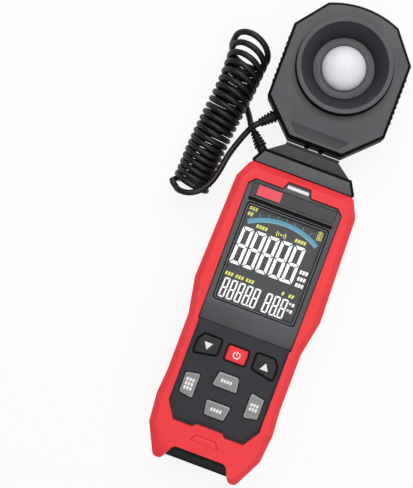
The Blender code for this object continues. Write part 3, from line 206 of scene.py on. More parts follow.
def moulded_plastic(name, colour, roughness=0.5, grain_size=0.00035, strength=0.35, gloss=0.3):
    """Plastic with an eroded mould's fine grain and slightly uneven tone."""
    rough = (roughness - 0.08, roughness + 0.08)
    bump = (0.00006, strength)
    return surface(name, colour, (0.018, 4.0, 0.10), grain_size, rough, bump, Specular_IOR_Level=gloss)


def soft_rubber(name, colour, roughness=0.5):
    """Overmoulded rubber: satin, very fine grain and a soft sheen."""
    rough = (roughness - 0.06, roughness + 0.1)
    return surface(
        name, colour, (0.03, 3.0, 0.05), 0.0005, rough, (0.00005, 0.25),
        Specular_IOR_Level=0.25, Sheen_Weight=0.03, Sheen_Roughness=0.5,
    )


def cord_rubber(name, colour):
    """Smooth extruded sheath with faint drag lines."""
    rough, bump = (0.40, 0.50), (0.00003, 0.2)
    return surface(name, colour, (0.006, 3.0, 0.25), 0.0008, rough, bump, Specular_IOR_Level=0.4)


def milky_plastic(name, colour):
    """Opal plastic that light sinks into a little."""
    return surface(
        name, colour, (0.004, 3.0, 0.015), 0.0006, (0.38, 0.5), (0.00002, 0.15),
        Subsurface_Weight=0.25, Subsurface_Radius=(0.002, 0.002, 0.002),
    )


def clear_window(name, colour):
    """Thin hard-coated window, clear with a faint smoky tone."""
    return surface(name, colour, (0.02, 3.0, 0.1), 0.003, (0.04, 0.09), Alpha=0.10, IOR=1.49)


def lit_mark(name, colour, strength):
    """A lit segment of the screen, with the faint dots of its pixels."""
    glow = (*linear(colour), 1)
    return surface(
        name, colour, (0.0004, 3.0, 0.04), Roughness=0.4, Emission_Color=glow, Emission_Strength=strength
    )


def screen_glass(name, colour, strength):
    """Screen ground with a soft sheen and a faint glow from behind."""
    glow = (*linear(colour), 1)
    rough = (0.25, 0.35)
    return surface(
        name, colour, (0.02, 2.0, 0.08), 0.002, rough, Emission_Color=glow, Emission_Strength=strength
    )


def plain_metal(name, colour, roughness):
    """Bright metal with a fine even grain."""
    rough = (roughness - 0.08, roughness + 0.08)
    return surface(name, colour, (0.003, 3.0, 0.08), 0.0004, rough, (0.00001, 0.2), Metallic=1.0)


def printed_sleeve(name, colour):
    """Battery sleeve: dark film with a pale band, along the cell."""
    material, tree, shader = new_material(name)
    low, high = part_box("battery_cell_left")
    place = add_node(tree, "ShaderNodeTexCoord").outputs["Object"]
    along = add_node(tree, "ShaderNodeSeparateXYZ", place).outputs["Y"]
    share = add_node(tree, "ShaderNodeMapRange", Value=along, From_Min=low[1], From_Max=high[1])
    ramp = add_node(tree, "ShaderNodeValToRGB", Fac=share)
    ramp.color_ramp.interpolation = "CONSTANT"
    film, pale = ramp.color_ramp.elements
    film.color = (*linear(colour), 1)
    pale.position = 0.72
    pale.color = (0.45, 0.43, 0.38, 1)
    feed(shader.inputs["Base Color"], ramp)
    spread_roughness(tree, shader, noise(tree, 0.002), 0.25, 0.4)
    shader.inputs["Metallic"].default_value = 0.3
    return material


# Each finish, by the name of its colour: how it's made, and that maker's values
FINISHES = {
    "bumper_red": (soft_rubber, 0.46),
    "red_crease_shade": (soft_rubber, 0.6),
    "grey_plastic": (moulded_plastic, 0.52),
    "ramp_shade": (moulded_plastic, 0.5, 0.0003, 0.2),
    "label_plastic": (moulded_plastic, 0.45, 0.0003, 0.15),
    "shoulder_plastic": (moulded_plastic, 0.5, 0.0003, 0.2),
    "keypad_floor": (moulded_plastic, 0.5),
    "black_and_painted_shade": (moulded_plastic, 0.6, 0.0005, 0.35, 0.1),
    "back_plastic": (moulded_plastic, 0.45, 0.0005),
    "key_grey": (soft_rubber, 0.55),
    "key_rim_highlight": (soft_rubber, 0.55),
    "key_black": (soft_rubber, 0.5),
    "key_mark": (moulded_plastic, 0.5, 0.0004, 0.1),
    "sheath_black": (cord_rubber,),
    "boot_rubber": (soft_rubber, 0.45),
    "dome_white": (milky_plastic,),
    "funnel_shade": (moulded_plastic, 0.5, 0.0004, 0.2, 0.15),
    "screen_ground": (screen_glass, 0.45),
    "screen_digit": (lit_mark, 0.75),
    "screen_legend": (lit_mark, 0.55),
    "screen_arc": (lit_mark, 0.5),
    "screen_arc_line": (lit_mark, 0.4),
    "window_edge_highlight": (moulded_plastic, 0.5, 0.0004, 0.1),
    "window_clear": (clear_window,),
    "label_red": (moulded_plastic, 0.45, 0.0004, 0.1),
    "circuit_green": (moulded_plastic, 0.4, 0.0012, 0.5),
    "filter_green": (moulded_plastic, 0.2, 0.001, 0.05),
    "steel": (plain_metal, 0.3),
    "sleeve": (printed_sleeve,),
}


def colour_setting(name, description, red, green, blue):
    """A colour from its red, green and blue, of 255."""
    return FloatVectorProperty(
        name=name,
        description=description,
        default=(red / 255, green / 255, blue / 255),
        min=0,
        max=1,
        size=3,
        subtype="COLOR_GAMMA",
    )


def number_setting(name, description, default, **limits):
    """A number, whole where its default is."""
    kind = IntProperty if isinstance(default, int) else FloatProperty
    return kind(name=name, description=description, default=default, **limits)


def length_setting(name, description, metres):
    """A length of at least zero."""
    return number_setting(name, description, metres, min=0, unit="LENGTH", precision=5)


def angle_setting(name, description, degrees):
    """An angle, given in degrees."""
    return number_setting(name, description, math.radians(degrees), subtype="ANGLE")


class MeterFinishes(bpy.types.PropertyGroup):
    """Colours of the meter's materials."""

    bumper_red: colour_setting("Bumper red", "Bumper and power key", 241, 60, 66)
    # Painted shade: darker red for the fine lines along the bumper's lip.
    red_crease_shade: colour_setting("Red creases", "Fine lines moulded into the bumper", 176, 30, 38)
    grey_plastic: colour_setting("Grey plastic", "Head face, collar and bezel", 84, 83, 87)
    # Painted shade: darker grey for the thumb ramp's sunk floor.
    ramp_shade: colour_setting("Thumb ramp", "Sunk place at the head's foot", 64, 64, 68)
    label_plastic: colour_setting("Label plate", "Plate above the screen", 66, 66, 70)
    shoulder_plastic: colour_setting("Shoulder", "Step between collar and dock", 50, 50, 54)
    keypad_floor: colour_setting("Keypad floor", "Floor between the keys", 44, 44, 50)
    # Black plastic of the head's back, tongue, grips and photodiode; also painted shade on steep edges,
    # grooves, the keypad's foot strip and round the keys.
    black_and_painted_shade: colour_setting("Black edges", "Outer edges and tongue", 12, 12, 14)
    back_plastic: colour_setting("Back plastic", "Back shell and battery door", 20, 20, 23)
    key_grey: colour_setting("Grey keys", "Four grey keys", 140, 140, 141)
    # Painted highlight: paler grey on the sloped rims of the grey keys.
    key_rim_highlight: colour_setting("Grey key rims", "Sloped rims of the grey keys", 178, 178, 178)
    key_black: colour_setting("Black keys", "Two arrow keys", 45, 46, 50)
    key_mark: colour_setting("Key marks", "Printed marks on the keys", 236, 236, 236)
    sheath_black: colour_setting("Black sheath", "Curly cord", 17, 17, 19)
    boot_rubber: colour_setting("Boot rubber", "Cord's boots and the mat under the keys", 17, 17, 19)
    dome_white: colour_setting("Dome", "Diffuser dome and light window", 233, 230, 236)
    # Painted shade: darker grey for the steep slope inside the raised ring.
    funnel_shade: colour_setting("Funnel", "Inside of the raised ring", 60, 59, 64)
    screen_ground: colour_setting("Screen ground", "Unlit screen", 72, 73, 75)
    screen_digit: colour_setting("Screen digits", "Digit segments", 250, 252, 252)
    screen_legend: colour_setting("Screen legends", "Small marks above the digits", 222, 222, 110)
    screen_arc: colour_setting("Screen arc", "Bar graph", 90, 156, 182)
    screen_arc_line: colour_setting("Screen arc line", "Pale line under the bar graph", 150, 196, 212)
    # Painted highlight: pale line along the window's edge, for light on its bevel.
    window_edge_highlight: colour_setting("Screen line", "Fine border of the window", 128, 130, 134)
    window_clear: colour_setting("Window", "Clear window over the screen", 41, 43, 48)
    label_red: colour_setting("Label block", "Plain block on the label plate", 240, 84, 92)
    circuit_green: colour_setting("Circuit board", "Boards inside", 24, 92, 46)
    filter_green: colour_setting("Filter", "Filter over the light sensor", 107, 140, 82)
    steel: colour_setting("Steel", "Screws and battery contacts", 189, 189, 191)
    sleeve: colour_setting("Battery sleeve", "Dark film of the cells", 39, 39, 48)


class MeterSizes(bpy.types.PropertyGroup):
    """Sizes of what is added to the solids."""

    cord_diameter: length_setting("Cord diameter", "Outside of the sheath", 0.00295)
    curl_radius: length_setting("Curl radius", "Middle of the cord to the curl's axis", 0.0079)
    curl_turns: number_setting("Curl turns", "Number of curls", 21.0, min=1)
    curl_points: number_setting("Points per curl", "Fineness of a curl", 28, min=12)
    curl_spread: number_setting("Curl spread", "How much wider the last curls lie", 0.07)
    curl_flare: number_setting("Curl flare", "How much larger the last curl is", 0.16)
    curl_skew: angle_setting("Curl skew", "Turn of the curls about Z", 7)
    curl_lean_foot: angle_setting("Curl lean, foot", "Lean of the first curl", -12)
    curl_lean_top: angle_setting("Curl lean, top", "Lean of the last curl", 40)
    boot_ribs: number_setting("Boot ribs", "Ribs on each boot", 5, min=2)
    # Painted shade: width of the black band round each key, for the shade in its gap.
    key_gap_shade: length_setting("Key moat", "Dark border round each key", 0.0005)
    soft_edge: length_setting("Soft edge", "Rounding of moulded edges", 0.0003)
    digit_height: length_setting("Digit height", "Large digits", 0.0180)
    digit_step: length_setting("Digit step", "Large digits, one to the next", 0.00636)
    small_digit_height: length_setting("Small digit height", "Lower row of digits", 0.0095)
    small_digit_step: length_setting("Small digit step", "Lower row, one to the next", 0.00378)
    arc_radius: length_setting("Arc radius", "Outer edge of the bar graph", 0.0336)
    arc_width: length_setting("Arc width", "Bar graph, across", 0.0018)
    arc_ticks: number_setting("Arc ticks", "Ticks along the bar graph", 9, min=2)


class StageSettings(bpy.types.PropertyGroup):
    """Camera, lamps and floor."""

    camera_height: length_setting("Camera height", "Camera over the floor", 0.559)
    camera_station: length_setting("Camera station", "Camera's place along the meter", 0.1013)
    camera_roll: angle_setting("Camera roll", "Turn of the picture", 20.5)
    focal_length: number_setting("Focal length", "Lens in millimetres", 84.8, min=1)
    frame_shift: FloatVectorProperty(
        name="Frame shift", description="Shift of the frame", default=(-0.1316, 0.0418), size=2
    )
    key_power: number_setting("Key lamp", "Power of the main lamp", 9.6, unit="POWER")
    fill_power: number_setting("Fill lamp", "Power of the second lamp", 2.9, unit="POWER")
    sky_strength: number_setting("Sky", "Even light from all round", 0.25, min=0)
    floor_glow: number_setting("Floor glow", "Share of the floor that stays white", 0.88)


class MeterSettings(bpy.types.PropertyGroup):
    """All settings of the light meter."""

    finishes: PointerProperty(type=MeterFinishes)
    sizes: PointerProperty(type=MeterSizes)
    stage: PointerProperty(type=StageSettings)


def settings():
    """The scene's own settings."""
    return bpy.context.scene.light_meter


def sizes():
    """The scene's sizes."""
    return settings().sizes


def finish(name):
    """The named material, made once."""
    known = bpy.data.materials.get(name)
    if known:
        return known
    maker, *values = FINISHES[name]
    return maker(name, getattr(settings().finishes, name), *values)


def linked(name, data):
    """A new object in the scene."""
    item = bpy.data.objects.new(name, data)
    bpy.context.scene.collection.objects.link(item)
    return item


def add_piece(name, mesh, material, body, replaced=()):
    """Links a finished piece, gives it its material and lets it ride on its body."""
    piece = linked(name, mesh)
    if not mesh.materials:
        mesh.materials.append(finish(material))
    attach(piece, body)
    if replaced:
        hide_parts(*replaced)
    return piece


def dress(node, material):
    """Gives a carried-over solid its finish."""
    item = frame["nodes"][node]
    item.data.materials.clear()
    item.data.materials.append(finish(material))


def evaluated_mesh(item, name):
    """The plain mesh of an object with its modifiers; the object is removed."""
    graph = bpy.context.evaluated_depsgraph_get()
    mesh = bpy.data.meshes.new_from_object(item.evaluated_get(graph))
    mesh.name = name
    bpy.data.objects.remove(item)
    return mesh


def opened(mesh, nearest):
    """A mesh as bmesh work, with corners that lie nearer than this merged."""
    work = bmesh.new()
    work.from_mesh(mesh)
    bmesh.ops.remove_doubles(work, verts=work.verts, dist=nearest)
    return work


def shade(mesh, degrees=32):
    """Smooth shading with sharp edges kept, after slivers are merged away."""
    work = opened(mesh, SLIVER)
    bmesh.ops.dissolve_degenerate(work, edges=work.edges, dist=SLIVER)
    work.to_mesh(mesh)
    work.free()
    mesh.polygons.foreach_set("use_smooth", [True] * len(mesh.polygons))
    mesh.set_sharp_from_angle(angle=math.radians(degrees))
    return mesh


def copied_solid(node):
    """A loose object with a merged copy of a solid's mesh, ready for modifiers."""
    work = opened(frame["nodes"][node].data, WELD)
    bmesh.ops.dissolve_limit(work, angle_limit=math.radians(0.4), verts=work.verts, edges=work.edges)
    mesh = bpy.data.meshes.new(node)
    work.to_mesh(mesh)
    work.free()
    return linked(node + "_copy", mesh)


def round_edges(item, width, segments=2, degrees=32):
    """Rounds an object's edges that are sharper than an angle."""
    bevel = item.modifiers.new("Soft edges", "BEVEL")
    bevel.width = width
    bevel.segments = segments
    bevel.limit_method = "ANGLE"
    bevel.angle_limit = math.radians(degrees)
    bevel.use_clamp_overlap = True
    bevel.miter_outer = "MITER_ARC"


def softened(node, width=0.0, segments=2):
    """A solid's mesh with its edges rounded, or left as they are."""
    item = copied_solid(node)
    if width:
        round_edges(item, width, segments)
    return shade(evaluated_mesh(item, node + "_soft"))


def rounded(name, mesh, width):
    """A mesh with its sharp edges rounded."""
    item = linked(name, mesh)
    round_edges(item, width)
    return shade(evaluated_mesh(item, name))


def coat(mesh, ground, *painted):
    """Gives a mesh its ground finish, and further ones to the faces that answer to their tests."""
    mesh.materials.clear()
    mesh.materials.append(finish(ground))
    for index, (name, wanted) in enumerate(painted, 1):
        mesh.materials.append(finish(name))
        for face in mesh.polygons:
            if wanted(face):
                face.material_index = index
    return mesh


def add_skin(node, look, slot, width=0.0, *painted, name=None, segments=2):
    """A piece that takes a solid's place, with rounded edges and painted faces."""
    mesh = coat(softened(node, width, segments), look, *painted)
    return add_piece(name or node + "_skin", mesh, look, BODY_OF[node], (node,))


def closed_mesh(name, work):
    """The mesh of finished bmesh work, with its faces turned outwards."""
    bmesh.ops.recalc_face_normals(work, faces=work.faces)
    mesh = bpy.data.meshes.new(name)
    work.to_mesh(mesh)
    work.free()
    return mesh


def flat_pieces(name, outlines, bottom, thickness=INK):
    """Flat shapes of a small thickness, in one mesh; each outline runs counterclockwise."""
    work = bmesh.new()
    for outline in outlines:
        low = [work.verts.new((x, y, bottom)) for x, y in outline]
        high = [work.verts.new((x, y, bottom + thickness)) for x, y in outline]
        work.faces.new(high)
        work.faces.new(list(reversed(low)))
        for i in range(len(outline)):
            j = (i + 1) % len(outline)
            work.faces.new((low[i], low[j], high[j], high[i]))
    return closed_mesh(name, work)


def band(name, inner, outer, bottom, thickness):
    """A flat closed band between two outlines of as many points."""
    count = len(inner)
    top = bottom + thickness
    work = bmesh.new()
    rings = []
    for outline, height in ((outer, bottom), (outer, top), (inner, top), (inner, bottom)):
        rings.append([work.verts.new((x, y, height)) for x, y in outline])
    for first, second in zip(rings, rings[1:] + rings[:1], strict=True):
        for i in range(count):
            j = (i + 1) % count
            work.faces.new((first[i], first[j], second[j], second[i]))
    return closed_mesh(name, work)


def bar(x, y, width, height, slant=0.0):
    """A slanted rectangle from its lower left corner."""
    top, lean = y + height, slant * height
    return [(x, y), (x + width, y), (x + width + lean, top), (x + lean, top)]


def dashes(x, y, count, height):
    """A row of short slanted marks from its lower left corner."""
    return [bar(x + part * DASH_STEP, y, DASH_STEP * 0.72, height, 0.12) for part in range(count)]


def ring_outline(x, y, radius, steps):
    """A circle, as one outline."""
    return [
        (x + radius * math.cos(2 * math.pi * i / steps), y + radius * math.sin(2 * math.pi * i / steps))
        for i in range(steps)
    ]


def arc_band(x, y, inner, outer, start, end, steps):
    """A piece of a flat ring, as one outline."""
    angles = [start + (end - start) * i / steps for i in range(steps + 1)]
    out = [(x + outer * math.cos(a), y + outer * math.sin(a)) for a in angles]
    back = [(x + inner * math.cos(a), y + inner * math.sin(a)) for a in reversed(angles)]
    return out + back


def new_tree(name, **inputs):
    """A Geometry Nodes tree with inputs of these kinds beside geometry and a material, and their sockets."""
    tree = bpy.data.node_groups.new(name, "GeometryNodeTree")
    for label, kind in {"Geometry": "Geometry", **inputs, "Material": "Material"}.items():
        tree.interface.new_socket(label.replace("_", " "), in_out="INPUT", socket_type="NodeSocket" + kind)
    tree.interface.new_socket("Geometry", in_out="OUTPUT", socket_type="NodeSocketGeometry")
    return tree, add_node(tree, "NodeGroupInput").outputs


def close_tree(tree, given, last):
    """Ends a tree: instances made real, and one material set."""
    real = add_node(tree, "GeometryNodeRealizeInstances", last)
    paint = add_node(tree, "GeometryNodeSetMaterial", Geometry=real, Material=given["Material"])
    add_node(tree, "NodeGroupOutput", paint)
    return tree


def grown(name, tree, mesh, look, **values):
    """The plain mesh that a tree makes from a starting mesh, a finish and its input values."""
    item = linked(name, mesh)
    modifier = item.modifiers.new("Grow", "NODES")
    modifier.node_group = tree
    sockets = {s.name: s.identifier for s in tree.interface.items_tree if s.in_out == "INPUT"}
    modifier[sockets["Material"]] = finish(look)
    for label, value in values.items():
        modifier[sockets[label.replace("_", " ")]] = value
    return evaluated_mesh(item, name)


def row_tree():
    """Repeats the starting shape in a straight row."""
    known = bpy.data.node_groups.get("Row")
    if known:
        return known
    tree, given = new_tree("Row", Count="Int", Step="Vector")
    line = add_node(tree, "GeometryNodeMeshLine", Count=given["Count"], Offset=given["Step"])
    spread = add_node(tree, "GeometryNodeInstanceOnPoints", Points=line, Instance=given["Geometry"])
    return close_tree(tree, given, spread)


def screw_tree():
    """Pan heads with a cross recess, one on each point of the starting mesh."""
    tree, given = new_tree(
        "Screw heads", Radius="Float", Height="Float", Recess="Vector", Recess_turned="Vector"
    )
    radius, height = given["Radius"], given["Height"]
    head = add_node(tree, "GeometryNodeMeshCylinder", Vertices=28, Radius=radius, Depth=height)
    cross = add_node(tree, "GeometryNodeMeshBoolean", operation="UNION", solver="EXACT")
    for label in ("Recess", "Recess turned"):
        feed(cross.inputs["Mesh 2"], add_node(tree, "GeometryNodeMeshCube", Size=given[label]))
    down = add_node(tree, "ShaderNodeMath", height, -0.5, operation="MULTIPLY")
    drop = add_node(tree, "ShaderNodeCombineXYZ", Z=down)
    lower = add_node(tree, "GeometryNodeTransform", Geometry=cross, Translation=drop)
    cut = add_node(
        tree, "GeometryNodeMeshBoolean", operation="DIFFERENCE", solver="EXACT", Mesh_1=head, Mesh_2=lower
    )
    spread = add_node(tree, "GeometryNodeInstanceOnPoints", Points=given["Geometry"], Instance=cut)
    return close_tree(tree, given, spread)


def boot_tree():
    """A ribbed boot along +Z: ribs that shrink towards the tip, on a tapered core."""
    known = bpy.data.node_groups.get("Boot")
    if known:
        return known
    tree, given = new_tree(
        "Boot", Ribs="Int", First_rib="Vector", Step="Vector",
        Base_radius="Float", Rib_height="Float", Shrink="Float",
    )
    line = add_node(
        tree, "GeometryNodeMeshLine",
        Count=given["Ribs"], Start_Location=given["First rib"], Offset=given["Step"],
    )
    rib = add_node(
        tree, "GeometryNodeMeshCylinder", Vertices=40, Radius=given["Base radius"], Depth=given["Rib height"]
    )
    index = add_node(tree, "GeometryNodeInputIndex")
    loss = add_node(tree, "ShaderNodeMath", index, given["Shrink"], operation="MULTIPLY")
    left = add_node(tree, "ShaderNodeMath", 1.0, loss, operation="SUBTRACT")
    scale = add_node(tree, "ShaderNodeCombineXYZ", left, left, 1.0)
    spread = add_node(tree, "GeometryNodeInstanceOnPoints", Points=line, Instance=rib, Scale=scale)
    both = add_node(tree, "GeometryNodeJoinGeometry", spread)
    feed(both.inputs["Geometry"], given["Geometry"])
    return close_tree(tree, given, both)


def tick_tree():
    """Repeats the starting shape round an arc about the origin, its Y side outwards."""
    tree, given = new_tree("Arc ticks", Radius="Float", Start="Float", Sweep="Float", Count="Int")
    arc = add_node(
        tree, "GeometryNodeCurveArc", mode="RADIUS", Resolution=120,
        Radius=given["Radius"], Start_Angle=given["Start"], Sweep_Angle=given["Sweep"],
    )
    points = add_node(tree, "GeometryNodeCurveToPoints", mode="COUNT", Curve=arc, Count=given["Count"])
    place = add_node(tree, "GeometryNodeInputPosition")
    turn = add_node(tree, "FunctionNodeAlignRotationToVector", axis="Y", pivot_axis="Z", Vector=place)
    spread = add_node(
        tree, "GeometryNodeInstanceOnPoints", Points=points, Instance=given["Geometry"], Rotation=turn
    )
    return close_tree(tree, given, spread)


def smooth_route(points, step):
    """Points at even steps along a smooth curve through the given points."""
    knots = [Vector(p) for p in points]
    knots = [2 * knots[0] - knots[1], *knots, 2 * knots[-1] - knots[-2]]
    fine = []
    for a, b, c, d in zip(knots, knots[1:], knots[2:], knots[3:], strict=False):
        second, third = 2 * a - 5 * b + 4 * c - d, 3 * b - a - 3 * c + d
        for t in np.linspace(0, 1, 40, endpoint=False):
            fine.append(0.5 * (2 * b + (c - a) * t + second * t**2 + third * t**3))
    fine.append(knots[-2])
    line = np.array(fine)
    along = np.concatenate([[0], np.cumsum(np.linalg.norm(np.diff(line, axis=0), axis=1))])
    count = max(2, round(along[-1] / step) + 1)
    even = np.linspace(0, along[-1], count)
    return [Vector([np.interp(x, along, line[:, k]) for k in range(3)]) for x in even]


def from_shoulder(route):
    """A route's points in the solids' frame."""
    return [Vector((x, y + CORD_STATION, z)) for x, y, z in route]


def curl_line():
    """The curls, from the lower end to the upper one."""
    own = sizes()
    axis = np.array(smooth_route(from_shoulder(CURL_AXIS), own.cord_diameter / 4))
    along = np.linspace(0, 1, len(axis))
    count = round(own.curl_turns * own.curl_points)
    across = Vector((math.cos(own.curl_skew), -math.sin(own.curl_skew), 0))
    points = []
    for index in range(count + 1):
        share = index / count
        travel = share + own.curl_spread * (share**5 - share)
        centre = Vector([np.interp(travel, along, axis[:, k]) for k in range(3)])
        lean = own.curl_lean_foot + (own.curl_lean_top - own.curl_lean_foot) * share**3
        radius = own.curl_radius * (1 + own.curl_flare * share**6)
        upward = Vector((0, math.sin(lean), math.cos(lean)))
        angle = math.pi + 2 * math.pi * own.curl_turns * share
        points.append(centre + radius * (math.cos(angle) * across + math.sin(angle) * upward))
    return points


def boot_tip(node, towards):
    """The middle of a boot's thin end, the mean of the corners that lie furthest along a direction."""
    spots = [v.co.copy() for v in frame["nodes"][node].data.vertices]
    furthest = max(s.dot(towards) for s in spots)
    near = [s for s in spots if s.dot(towards) > furthest - NEAR]
    return sum(near, Vector()) / len(near)


def boot_ways():
    """Each boot's node with the direction in which it points."""
    body_way = Vector((-0.70, 0.70, -0.14)).normalized()
    edge = Vector((HEAD_FOOT_HALF - HEAD_HIGH.x, HEAD_FOOT_RISE, 0))
    head_way = Vector((-edge.y, edge.x, 0)).normalized()
    return {"body_strain_relief": body_way, "head_strain_relief": head_way}


def add_cord(name, points):
    """A cord along points, as a curve with round section, and its length."""
    curve = bpy.data.curves.new(name, "CURVE")
    curve.dimensions = "3D"
    curve.bevel_depth = sizes().cord_diameter / 2
    curve.bevel_resolution = 3
    curve.use_fill_caps = True
    spline = curve.splines.new("POLY")
    spline.points.add(len(points) - 1)
    for point, spot in zip(spline.points, points, strict=True):
        point.co = (*spot, 1)
    spline.use_smooth = True
    curve.materials.append(finish("sheath_black"))
    length = sum((b - a).length for a, b in zip(points, points[1:], strict=False))
    return linked(name, curve), length


class MeterOperator(bpy.types.Operator):
    """Common ground of the operators below."""

    bl_options = {"REGISTER", "UNDO"}


class LIGHTMETER_OT_stage(MeterOperator):
    """Adds the floor, the lamps, the sky and the camera."""

    bl_idname = "light_meter.stage"
    bl_label = "Stage"

    def execute(self, context):
        stage = settings().stage
        scene = context.scene
        scene.view_settings.view_transform = "Standard"
        reach, depth = 20, 0.01
        floor_mesh = flat_pieces("floor", [bar(-reach, -reach, reach * 2, reach * 2)], -depth, depth)
        floor_mesh.materials.append(self.floor_finish(stage.floor_glow))
        linked("floor", floor_mesh)
        self.add_lamp("key_lamp", spot=(-0.05, 0.55, 1.0), size=1.0, power=stage.key_power)
        self.add_lamp("fill_lamp", spot=(0.35, -0.45, 0.95), size=0.7, power=stage.fill_power)
        self.add_sky(stage.sky_strength)
        camera = bpy.data.cameras.new("camera")
        camera.lens = stage.focal_length
        camera.shift_x, camera.shift_y = stage.frame_shift
        camera.clip_start = 0.01
        scene.camera = linked("camera", camera)
        scene.camera.location = (0, station(stage.camera_station), stage.camera_height)
        scene.camera.rotation_euler = (0, 0, stage.camera_roll)
        return {"FINISHED"}

    def floor_finish(self, white_share):
        """Pale floor that looks white to the camera and still takes a soft shadow."""
        material, tree, shader = new_material("pale_floor")
        spread_colour(tree, shader, noise(tree, 0.2), (0.95, 0.95, 0.95), 0.01)
        shader.inputs["Roughness"].default_value = 0.9
        path = add_node(tree, "ShaderNodeLightPath").outputs
        seen = path["Is Camera Ray"]
        for ray in ("Is Glossy Ray", "Is Transmission Ray"):
            seen = add_node(tree, "ShaderNodeMath", seen, path[ray], operation="MAXIMUM")
        share = add_node(tree, "ShaderNodeMath", seen, white_share, operation="MULTIPLY")
        glow = add_node(tree, "ShaderNodeEmission", Strength=1.0)
        mix = add_node(tree, "ShaderNodeMixShader", share, shader, glow)
        feed(tree.nodes["Material Output"].inputs["Surface"], mix)
        return material

    def add_lamp(self, name, spot, size, power):
        """A round lamp that looks at the frame's origin."""
        lamp = bpy.data.lights.new(name, "AREA")
        lamp.shape = "DISK"
        lamp.size = size
        lamp.energy = power
        holder = linked(name, lamp)
        holder.location = spot
        holder.rotation_euler = Vector(spot).to_track_quat("Z", "Y").to_euler()

    def add_sky(self, strength):
        """Even white light from all round."""
        world = bpy.data.worlds.new("sky")
        bpy.context.scene.world = world
        world.use_nodes = True
        background = world.node_tree.nodes["Background"]
        background.inputs["Color"].default_value = (1, 1, 1, 1)
        background.inputs["Strength"].default_value = strength


class LIGHTMETER_OT_cord(MeterOperator):
    """Adds the curly cord with its two plain ends."""

    bl_idname = "light_meter.cord"
    bl_label = "Curly cord"

    def execute(self, context):
        own = sizes()
        body_way, head_way = boot_ways().values()
        body_exit = boot_tip("body_strain_relief", body_way)
        head_exit = boot_tip("head_strain_relief", head_way)
        curls = curl_line()
        step = own.cord_diameter * 0.75
        upper_way = (curls[-1] - curls[-2]).normalized()
        lower_way = (curls[0] - curls[1]).normalized()
        foot = curls[0] + lower_way * own.cord_diameter
        run = [body_exit, body_exit + body_way * 2 * step, *from_shoulder(BODY_RUN)]
        run += [curls[-1] + upper_way * 2 * step, curls[-1]]
        line = smooth_route(run, step)[:-1] + list(reversed(curls)) + [foot]
        piece, length = add_cord("curly_cord", line)
        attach(piece, "body")
        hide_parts("cord_curl", "cord_body_run")
        run = [head_exit, head_exit + head_way * 2 * step, *reversed(from_shoulder(HEAD_RUN))]
        run += [foot + lower_way * own.cord_diameter, foot]
        line = smooth_route(run, step)
        piece, length = add_cord("cord_head_end", line)
        tube = linked("cord_head_end", self.welded(evaluated_mesh(piece, "cord_head_end")))
        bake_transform(tube)
        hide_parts("cord_head_run")
        return {"FINISHED"}

    def welded(self, mesh):
        """The cord's mesh with its caps joined to its wall."""
        work = opened(mesh, WELD)
        bmesh.ops.recalc_face_normals(work, faces=work.faces)
        work.to_mesh(mesh)
        work.free()
        return shade(mesh, 50)


class LIGHTMETER_OT_bumper(MeterOperator):
    """Shades the red bumper and adds the raised lip and fine lines of painted shade along it, at its foot.
    """

    bl_idname = "light_meter.bumper"
    bl_label = "Bumper"

    def execute(self, context):
        add_skin("bumper", "bumper_red", "red_rubber")
        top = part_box("bumper")[1][2]
        self.add_lip(top)
        self.add_crease_shade(top)
        return {"FINISHED"}

    def add_lip(self, top):
        """A low raised lip under the keypad's notch."""
        sunk, height, rounding = 0.0008, 0.00112, 0.00025
        foot, crest = station(0.0133), station(0.0159)
        outline = [(-0.0063, foot), (0.0063, foot), (0.0046, crest), (-0.0046, crest)]
        mesh = rounded("bumper_lip", flat_pieces("bumper_lip", [outline], top - sunk, height), rounding)
        add_piece("bumper_lip", mesh, "bumper_red", "body")

    def add_crease_shade(self, top):
        """Fine dark red lines of painted shade along the lip's sides and top."""
        half_width = 0.00016
        spots = ((-0.0067, 0.0132), (-0.0048, 0.0162), (0.0048, 0.0162), (0.0067, 0.0132))
        corners = [Vector((x, station(y))) for x, y in spots]
        strips = []
        for start, end in zip(corners, corners[1:], strict=False):
            across = (end - start).normalized().orthogonal() * half_width
            strips.append([tuple(p) for p in (start - across, end - across, end + across, start + across)])
        mesh = flat_pieces("bumper_crease_shade", strips, top - INK, INK * 2)
        add_piece("bumper_crease_shade", mesh, "red_crease_shade", "body")


class LIGHTMETER_OT_case(MeterOperator):
    """Finishes the shells, the collar, the dock and the battery door."""

    bl_idname = "light_meter.case"
    bl_label = "Case"

    def execute(self, context):
        edge = sizes().soft_edge
        strip_top, shoulder = station(0.012), FACE - 0.002
        # Painted shade: the keypad floor's strip at the foot, under the bumper, is painted black.
        strip = ("black_and_painted_shade", lambda face: face.center.y < strip_top)
        below = ("shoulder_plastic", lambda face: face.center.z < shoulder)
        # Painted shade: steep faces of the collar and dock are painted black.
        sides = ("black_and_painted_shade", lambda face: face.normal.z < 0.9)
        add_skin("front_shell", "keypad_floor", "keypad_plastic", 0, strip)
        dress("rear_shell", "back_plastic")
        for node in ("top_collar", "dock_plate"):
            add_skin(node, "grey_plastic", "dark_grey_plastic", edge, below, sides)
        add_skin("battery_door", "back_plastic", "black_plastic", edge)
        self.add_door_grip()
        return {"FINISHED"}

    def add_door_grip(self):
        """Six ridges across the battery door, near its free end."""
        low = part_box("battery_door")[0]
        half, width, step, height = 0.008, 0.0007, 0.0016, 0.0005
        outline = bar(-half, low[1] + 0.004, half * 2, width)
        ridge = flat_pieces("door_ridge", [outline], low[2] - height / 2, height)
        mesh = grown("battery_door_grip", row_tree(), ridge, "back_plastic", Count=6, Step=(0, step, 0))
        add_piece("battery_door_grip", mesh, "back_plastic", "door")


